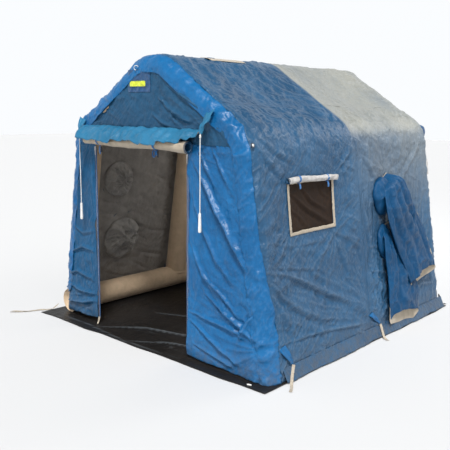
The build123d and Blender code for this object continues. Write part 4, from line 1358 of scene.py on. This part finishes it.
def sleeves(side, place, upper_shift, lower_shift, seed):
    """The two limp duct sleeves on a wall, each a puffed root and a hanging fall."""
    def moved(points, shift):
        return [(y + shift, z) for y, z in points]
    flip = place is mirrored
    left = [(0.40, 1.46), (0.34, 1.30), (0.36, 1.08), (0.47, 0.82), (0.58, 0.62), (0.66, 0.46)]
    right = [(0.56, 1.55), (0.75, 1.44), (0.89, 1.22), (1.02, 1.02), (1.14, 0.78), (1.22, 0.55)]
    obj = loft(f"{side}_upper_sleeve_fall", place, moved(left, upper_shift), moved(right, upper_shift),
        [0.080, 0.108, 0.118, 0.120, 0.116, 0.110], [0.040, 0.046, 0.040, 0.036, 0.036, 0.042], seed,
        0.110, flip=flip, replaces=[f"{side}_upper_sleeve"], slot="blue_skin")
    cloth(obj, (0.94, 1.15), "hung")
    obj = shoulder(f"{side}_upper_sleeve_root", place, (0.440 + upper_shift, 1.330), (0.170, 0.195), 0.078,
        seed + 20, flip=not flip, slot="blue_skin")
    cloth(obj, (0.41, 0.46), "gathered")
    left = [(0.38, 1.03), (0.32, 0.78), (0.32, 0.54), (0.30, 0.33), (0.29, 0.19)]
    right = [(0.66, 1.08), (0.74, 0.74), (0.82, 0.50), (0.89, 0.33), (0.88, 0.15)]
    obj = loft(f"{side}_lower_sleeve_fall", place, moved(left, lower_shift), moved(right, lower_shift),
        [0.050, 0.066, 0.064, 0.060, 0.056], [0.026, 0.032, 0.030, 0.028, 0.034], seed + 40, 0.125,
        flip=flip, replaces=[f"{side}_lower_sleeve"], slot="blue_skin")
    cloth(obj, (0.94, 0.80), "hung")
    obj = shoulder(f"{side}_lower_sleeve_root", place, (0.430 + lower_shift, 0.880), (0.130, 0.165), 0.050,
        seed + 60, flip=not flip, slot="blue_skin")
    cloth(obj, (0.30, 0.37), "gathered")


PORT_COVER = 1.24    # the gathered cloth's radius over its port's


def port_lining(name, place, port, seed, **words):
    """The gathered cloth that closes a port on the inside, with its welt."""
    y0, z0, radius = port
    r, a = np.meshgrid(np.linspace(0, 1, 36), np.linspace(0, 2 * math.pi, 121), indexing="ij")
    twist = a + 0.9 * (1 - r) ** 2
    y = y0 + radius * PORT_COVER * r * np.cos(twist)
    z = z0 + radius * PORT_COVER * r * np.sin(twist)
    gathers = noise(a * 3.2, r * 1.2, seed) * smooth(0.0, 0.5, r) * (1 - smooth(0.93, 1.0, r))
    gathers = 0.5 * (gathers + noise(np.cos(a) * 5, np.sin(a) * 5 + 3 * r, seed + 1))
    dome = np.sqrt(np.clip(1 - r ** 2.2, 0, 1))
    lump = crease(y * 8.0, z * 8.0, seed + 2, 3) - 0.4
    w = -0.008 - 0.070 * dome - 0.050 * gathers * dome - 0.120 * lump * dome
    w = w - 0.010 * np.exp(-((r - 0.985) / 0.02) ** 2)
    obj = sheet_piece(name, place(wall_skin(y, z, np.minimum(w, -0.005))), PORT_CLOTH, PORT_CLOTH,
        flip=True, crest=crest_of(-w), low=np.zeros(r.shape), thickness=0.002, slot="lining", **words)
    cloth(obj, (2.9 * radius, 2.9 * radius), "gathered")


sleeves("right", same, 0.0, 0.0, 1000)
sleeves("left", mirrored, -1.370, -1.270, 1200)
for count, port in enumerate(RIGHT_PORTS):
    port_lining(f"right_port_lining_{count}", same, port, 1400 + 10 * count,
        **({"replaces": ["port_rings"]} if count == 0 else {}))
for count, (port_y, port_z, port_r) in enumerate(LEFT_PORTS):
    port_lining(f"left_port_lining_{count}", turned, (-port_y, port_z, port_r), 1440 + 10 * count)


# ---------------- zips

ZIP_TAPE_WIDTH, ZIP_PITCH = 0.030, 0.0085


def zips():
    """Each zip's tape and teeth, and the webbing at the foot of the left one."""
    for side in ("left", "right"):
        low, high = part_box(f"{side}_zip_chain")
        mid = (low[0] + high[0]) / 2
        z = np.linspace(low[2], high[2], 240)
        tape = np.stack([0 * z + mid, 0 * z - HALF_DEPTH + 0.0015, z], -1)
        tape[:, 0] += 0.0025 * noise(z * 5, 0 * z, 60)
        obj = ribbon(f"{side}_zip_tape", tape[::6], [(1, 0, 0)] * len(tape[::6]), ZIP_TAPE_WIDTH, ZIP_TAPE,
            count=200, thickness=0.0016, replaces=[f"{side}_zip_chain"], slot="zip_tape")
        cloth(obj, (ZIP_TAPE_WIDTH, 1.73), "hung")
        points, faces = [], []
        for k in range(int((high[2] - low[2] - 0.004) / ZIP_PITCH)):
            at = low[2] + 0.004 + k * ZIP_PITCH
            x = mid + 0.0025 * float(noise(np.array(at * 5.0), np.array(0.0), 60)) + (0.0016 if k % 2
                else -0.0016)
            first = len(points)
            for dz, half in ((0.0, 0.0030), (0.0048, 0.0036)):
                for sx, sy in ((-1, -1), (1, -1), (1, 1), (-1, 1)):
                    points.append((x + sx * half, -HALF_DEPTH + 0.0005 + sy * 0.0013, at + dz))
            faces += [[first + q for q in quad] for quad in ((3, 2, 1, 0), (4, 5, 6, 7), (0, 1, 5, 4),
                (1, 2, 6, 5), (2, 3, 7, 6), (3, 0, 4, 7))]
        make_object(f"{side}_zip_teeth", points, faces, METAL, slot="zip_metal")
    obj = ribbon("zip_tail_webbing", [(-0.772, -1.523, 0.074), (-0.770, -1.531, 0.050),
        (-0.768, -1.540, 0.022), (-0.766, -1.552, 0.008)], [(1, 0, 0), (1, 0.2, 0), (1, -0.2, 0),
        (1, 0.1, 0)], 0.020, WEB_TAN, waves=0.004, seed=66, count=24, replaces=["zip_tail"],
        slot="tan_webbing")
    cloth(obj, (0.020, 0.075), "hung")


zips()


# ---------------- patches on the gable and the roof

def gable_sheet(name, x0, x1, z0, z1, proud, material, seed, **words):
    """A patch sewn on the gable, following its relief."""
    x, z = np.meshgrid(np.linspace(x0, x1, 44), np.linspace(z0, z1, 36), indexing="ij")
    border = np.minimum.reduce([x - x0, x1 - x, z - z0, z1 - z])
    stitch = 0.0012 * np.exp(-((border - 0.008) / 0.003) ** 2)
    wave = 0.0016 * noise(x * 22, z * 22, seed)
    y = -HALF_DEPTH - gable_relief(x, z) - proud + stitch - wave
    return sheet_piece(name, np.stack([x, y, z], -1), material, thickness=0.0015, low=0 * x, **words)


def patches():
    """The patch, label and loop on the gable, and the patch beside the ridge."""
    low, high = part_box("gable_patch")
    obj = gable_sheet("gable_patch_cloth", low[0], high[0], low[2], high[2], 0.003, PATCH, 70,
        replaces=["gable_patch"], slot="patch_blue")
    cloth(obj, (high[0] - low[0], high[2] - low[2]))
    low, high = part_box("gable_label")
    obj = gable_sheet("gable_label_strip", low[0], high[0], low[2], high[2], 0.0065, LABEL, 71,
        replaces=["gable_label"], slot="label_yellow")
    cloth(obj, (high[0] - low[0], high[2] - low[2]))
    a = np.linspace(-0.6, 4.4, 30)
    centre = (-0.136, 2.508)
    ring = np.stack([centre[0] + 0.022 * np.cos(a), -1.5300 - 0.010 * np.sin(a * 0.7),
        centre[1] + 0.014 * np.sin(a) - 0.004 * a], -1)
    tube("gable_cord_loop", ring, 0.0030, WHITE_CLOTH, segments=10, replaces=["gable_loop"],
         slot="white_cord")
    v, x = np.meshgrid(np.linspace(-0.93, -0.46, 50), np.linspace(0.050, 0.200, 20), indexing="ij")
    s = SKIN.s_at_x(x)
    lift = bay_sag(s, v) + 0.0065 + 0.0015 * noise(v * 12, x * 20, 72)
    obj = sheet_piece("ridge_patch_cloth", skin_points(s, v, lift), WEB_TAN, thickness=0.002, low=0 * x,
        replaces=["ridge_patch"], slot="tan_webbing")
    cloth(obj, (0.14, 0.47))


patches()


# ---------------- skirts, ground sheet and straps

def skirt(name, place, start, end, seed, **words):
    """The loose hem from the foot of a wall out over the ground sheet."""
    t, d = np.meshgrid(np.linspace(start, end, 190), np.linspace(0, 1, 12), indexing="ij")
    w = 0.004 + 0.040 * d ** 1.3 + d * 0.007 * noise(t * 7.0, d, seed) + d * 0.004 * noise(t * 19.0, d,
        seed + 1)
    z = 0.118 - 0.108 * d + d * 0.004 * noise(t * 11.0, 0 * d, seed + 2)
    obj = sheet_piece(name, place(t, z, w), SKY_DULLED_BLUE, SHADED_INNER, crest=crest_of(w), thickness=0.002,
        slot="blue_skin", **words)
    cloth(obj, (abs(end - start), 0.125), "hung")


def skirts():
    """The loose hems of the side walls and the rear wall."""
    def on_right(y, z, w):
        return np.stack([wall_x(z, 0) + w, y, z], -1)

    def on_rear(x, z, w):
        return np.stack([x, HALF_DEPTH + w, z], -1)
    skirt("right_skirt", on_right, -1.36, 1.51, 80, replaces=["side_skirts"])
    skirt("left_skirt", lambda y, z, w: on_right(y, z, w) * np.array([-1.0, 1.0, 1.0]), -1.36, 1.51, 83,
          flip=True)
    skirt("rear_skirt_cloth", on_rear, -1.14, 1.14, 86, flip=True, replaces=["rear_skirt"])


GROUND_FOLDS = [
    ([(-0.70, -1.60), (-0.30, -1.30), (0.40, -1.10)], 0.030, 0.010),
    ([(-0.20, -1.66), (0.20, -1.40), (0.48, -1.30)], 0.026, 0.009),
    ([(-1.40, -1.66), (-0.90, -1.62), (-0.20, -1.67), (0.60, -1.60)], 0.020, 0.006),
    ([(-0.60, -0.90), (0.10, -0.60), (0.70, -0.70)], 0.035, 0.010),
    ([(-0.80, -0.30), (0.00, 0.10), (0.80, 0.00)], 0.035, 0.009),
]


def ground_sheet():
    """The black sheet under the shelter, creased where people walk in."""
    a, b = np.meshgrid(np.linspace(0, 1, 170), np.linspace(0, 1, 180), indexing="ij")
    corners = [(-1.490, -1.740), (1.480, -1.630), (1.490, 1.562), (-1.490, 1.562)]
    x, y = [(1 - b) * ((1 - a) * corners[0][k] + a * corners[1][k])
            + b * ((1 - a) * corners[3][k] + a * corners[2][k]) for k in (0, 1)]
    edge = np.minimum.reduce([a, 1 - a, b, 1 - b])
    rim = 1 - smooth(0, 0.03, edge)
    x = x + 0.010 * rim * noise(y * 4.0, 0 * y, 90)
    y = y + 0.014 * rim * noise(x * 4.0, 0 * x, 91)
    inside = (np.abs(x) < 1.10) & (y > -1.50) & (y < 1.2)
    lift = 0.0075 * crease(x * 2.4 + y, y * 2.4, 92, 3) ** 1.5
    lift = with_folds(lift, x, y, GROUND_FOLDS)
    lift = np.clip(lift, 0, 0.016) * np.where(inside, 1.0, 0.55)
    points = np.stack([x, y, 0.0030 + lift], -1)
    obj = sheet_piece("ground_sheet_cloth", points, FLOOR_CLOTH, None, crest=crest_of(lift), low=0.3 * rim,
        thickness=0.0024, replaces=["ground_sheet"], slot="floor_rubber")
    cloth(obj, (2.98, 3.25), "laid", area=9.66)


STRAP_WIDTH = 0.025


def strap(name, start, heading, profile, material, seed, place=same, **words):
    """A strap from a point on the foot of the cover, along the ground in one direction."""
    heading = np.array(heading) / np.hypot(*heading)
    profile = np.array(profile)
    swing = 0.012 * np.sin(profile[:, 0] * 14 + seed) * smooth(0.05, 0.2, profile[:, 0])
    path = np.stack([start[0] + heading[0] * profile[:, 0] - heading[1] * swing,
        start[1] + heading[1] * profile[:, 0] + heading[0] * swing, profile[:, 1]], -1)
    across = np.array([(-heading[1], heading[0], 0.25 * math.sin(k * 2.2 + seed))
        for k in range(len(path))])
    obj = ribbon(name, place(path), place(across) if place is turned else across, STRAP_WIDTH, material,
        waves=0.0022, seed=seed, count=90, thickness=0.0022, **words)
    cloth(obj, (STRAP_WIDTH, float(profile[-1, 0]) + 0.06), "laid")


def tab(name, path, widths, seed, place=same, **words):
    """A cloth tab on the foot of a side wall that a strap is sewn to."""
    points = [wall_skin(y, z, w) for y, z, w in path]
    obj = ribbon(name, [place(p) for p in points], [place(np.array([0.0, 1.0, 0.25]))] * len(path), widths,
        BRIGHT, waves=0.010, seed=seed, count=24, thickness=0.0026, slot="blue_skin", **words)
    cloth(obj, (widths[0], 0.20), "hung", area=0.0105)


def straps():
    """The stake straps and the cloth tabs that hold them."""
    strap("front_left_webbing", (-1.470, -1.545), (-0.52, -0.85),
          [(0, 0.060), (0.036, 0.030), (0.072, 0.008), (0.105, 0.004), (0.20, 0.004), (0.33, 0.004),
           (0.41, 0.010),
           (0.47, 0.012), (0.500, 0.006)], WEB_TAN, 3, replaces=["front_left_strap"], slot="tan_webbing")
    strap("right_front_webbing", (1.462, -1.255), (0.49, -0.87),
          [(0, 0.128), (0.040, 0.098), (0.075, 0.058), (0.120, 0.016), (0.160, 0.004), (0.242, 0.004)],
          WEB_TAN, 5,
          replaces=["right_front_strap"], slot="tan_webbing")
    middle = [(0, 0.128), (0.024, 0.098), (0.045, 0.060), (0.070, 0.022), (0.095, 0.005), (0.130, 0.004)]
    strap("right_middle_webbing", (1.449, 0.150), (0.9, -0.44), middle, WEB_TAN, 6,
          replaces=["middle_straps"],
          slot="tan_webbing")
    strap("left_middle_webbing", (1.449, 0.150), (0.9, -0.44), middle, WEB_TAN, 7, place=turned,
          slot="tan_webbing")
    rear = [(0, 0.128), (0.020, 0.070), (0.036, 0.026), (0.050, 0.006), (0.080, 0.004), (0.115, 0.004)]
    strap("right_rear_webbing", (1.405, 1.526), (0.34, 0.94), rear, WEB_BLACK, 8, replaces=["rear_straps"],
          slot="black_webbing")
    strap("left_rear_webbing", (1.405, 1.526), (0.34, 0.94), rear, WEB_BLACK, 9,
          place=lambda p: p * np.array([-1.0, 1.0, 1.0]), slot="black_webbing")
    front = [(-1.350, 0.285, 0.004), (-1.320, 0.240, 0.012), (-1.285, 0.180, 0.020), (-1.258, 0.128, 0.024)]
    middle = [(0.020, 0.250, 0.004), (0.055, 0.215, 0.012), (0.100, 0.168, 0.018), (0.142, 0.130, 0.022)]
    tab("right_front_tab", front, [0.085, 0.078, 0.050, 0.024], 95, replaces=["strap_tabs"])
    tab("right_middle_tab", middle, [0.072, 0.066, 0.044, 0.024], 96)
    tab("left_middle_tab", middle, [0.072, 0.066, 0.044, 0.024], 97, place=turned)


def rear_ties():
    """Small webbing ends at the rear corner of the right wall."""
    def at(z, past, lift):
        return skin_points(np.array(SKIN.s_at(z)), np.array(ARCH_Y + past), np.array(lift))
    ribbon("rear_eave_tie", [at(1.990, 0.02, 0.004), at(1.965, 0.05, 0.022), at(1.930, 0.08, 0.024),
        at(1.890, 0.10, 0.006)], [(0, 1, 0.4)] * 4, 0.050, PATCH, waves=0.006, seed=98, count=24,
        thickness=0.003, slot="patch_blue")
    ribbon("rear_corner_webbing", [at(1.640, 0.10, 0.006), at(1.560, 0.11, 0.010), at(1.470, 0.10, 0.006)],
           [(0.2, 1, 0)] * 3, 0.040, FLAP, waves=0.004, seed=99, count=20, thickness=0.0025, slot="lining")
    for name in ("rear_eave_tie", "rear_corner_webbing"):
        cloth(bpy.data.objects[name], (0.05, 0.17), "hung", area=0.0075)


skirts()
ground_sheet()
straps()
rear_ties()


# ---------------- CAD pieces that stay

KEPT = {"left_zip_slider": METAL, "right_zip_slider": METAL, "valve_ring": DARK_PLASTIC,
        "valve_cap": WHITE_PLASTIC,
        "tie_toggles": DARK_PLASTIC, "corner_toggle": WHITE_PLASTIC}
for node, material in KEPT.items():
    data = bpy.data.objects[node].data
    data.materials.clear()
    data.materials.append(material)


# ---------------- camera, light and floor

HORIZON, SKY = 1.0, 0.14                # brightness of the world low down and overhead
HORIZON_FROM, HORIZON_TO = 0.57, 0.64   # where on the world's 0 to 1 height the one turns into the other
SUN_FROM, SUN_POWER, SUN_WIDTH = (0.36, -0.46, 0.90), 3.7, 16
FLOOR_HALF, FLOOR_COLOUR = 40.0, (0.66, 0.66, 0.66)
WORLD_COLOUR = (0.96, 0.98, 1.0)
LAMPS = (("inside", (0.2, 0.3, 2.15), (-0.2, 0.3, 0.0), 1.0, 11),
    ("rear", (3.0, 6.0, 6.0), (0, 1.0, 2.0), 3.0, 90))


def stage():
    """A pale floor, soft light all round, a low sun and two lamps."""
    floor_mesh = bpy.data.meshes.new("floor")
    corners = ((-1, -1), (1, -1), (1, 1), (-1, 1))
    floor_mesh.from_pydata([(x * FLOOR_HALF, y * FLOOR_HALF, -0.001) for x, y in corners], [],
        [(0, 1, 2, 3)])
    floor = added("floor", floor_mesh)
    material, tree, shader = new_material("pale_floor")
    put(shader, {"Base Color": (*FLOOR_COLOUR, 1), "Roughness": 0.9, "Specular IOR Level": 0.1})
    floor_mesh.materials.append(material)
    world = bpy.data.worlds.new("studio")
    bpy.context.scene.world = world
    world.use_nodes = True
    nodes, links = world.node_tree.nodes, world.node_tree.links
    put(nodes["Background"], {"Color": (*WORLD_COLOUR, 1)})
    where = nodes.new("ShaderNodeTexCoord")
    part = nodes.new("ShaderNodeSeparateXYZ")
    links.new(where.outputs["Generated"], part.inputs[0])
    height = nodes.new("ShaderNodeMapRange")
    put(height, {"From Min": HORIZON_FROM, "From Max": HORIZON_TO, "To Min": HORIZON, "To Max": SKY})
    links.new(part.outputs["Z"], height.inputs["Value"])
    links.new(height.outputs[0], nodes["Background"].inputs["Strength"])
    bpy.context.scene.view_settings.view_transform = "Standard"
    sun = bpy.data.lights.new("sun", "SUN")
    sun.energy = SUN_POWER
    sun.angle = math.radians(SUN_WIDTH)
    lamp = added("sun", sun)
    lamp.rotation_euler = Vector(SUN_FROM).to_track_quat("Z", "Y").to_euler()
    for name, place, target, size, power in LAMPS:
        light = bpy.data.lights.new(name, "AREA")
        light.shape = "DISK"
        light.size = size
        light.energy = power
        lamp = added(name, light)
        lamp.location = place
        lamp.rotation_euler = (Vector(target) - Vector(place)).to_track_quat("-Z", "Y").to_euler()


CAMERA_PLACE = (4.383, -5.260, 2.164)
CAMERA_YAW, CAMERA_PITCH, CAMERA_ROLL = 0.745, 0.180, 0.012
CAMERA_LENS = 51.65


def camera():
    """The camera at the photo's viewing angle."""
    yaw, pitch, roll = CAMERA_YAW, CAMERA_PITCH, CAMERA_ROLL
    ahead = np.array([-math.sin(yaw) * math.cos(pitch), math.cos(yaw) * math.cos(pitch), -math.sin(pitch)])
    right = np.array([math.cos(yaw), math.sin(yaw), 0.0])
    up = np.cross(right, ahead)
    right, up = right * math.cos(roll) + up * math.sin(roll), up * math.cos(roll) - right * math.sin(roll)
    data = bpy.data.cameras.new("photo_angle")
    data.sensor_width = 36.0
    data.lens = CAMERA_LENS
    data.clip_end = 200
    eye = added("photo_angle", data)
    turn = Matrix([[right[k], up[k], -ahead[k]] for k in range(3)]).to_4x4()
    eye.matrix_world = Matrix.Translation(CAMERA_PLACE) @ turn
    bpy.context.scene.camera = eye


stage()
camera()
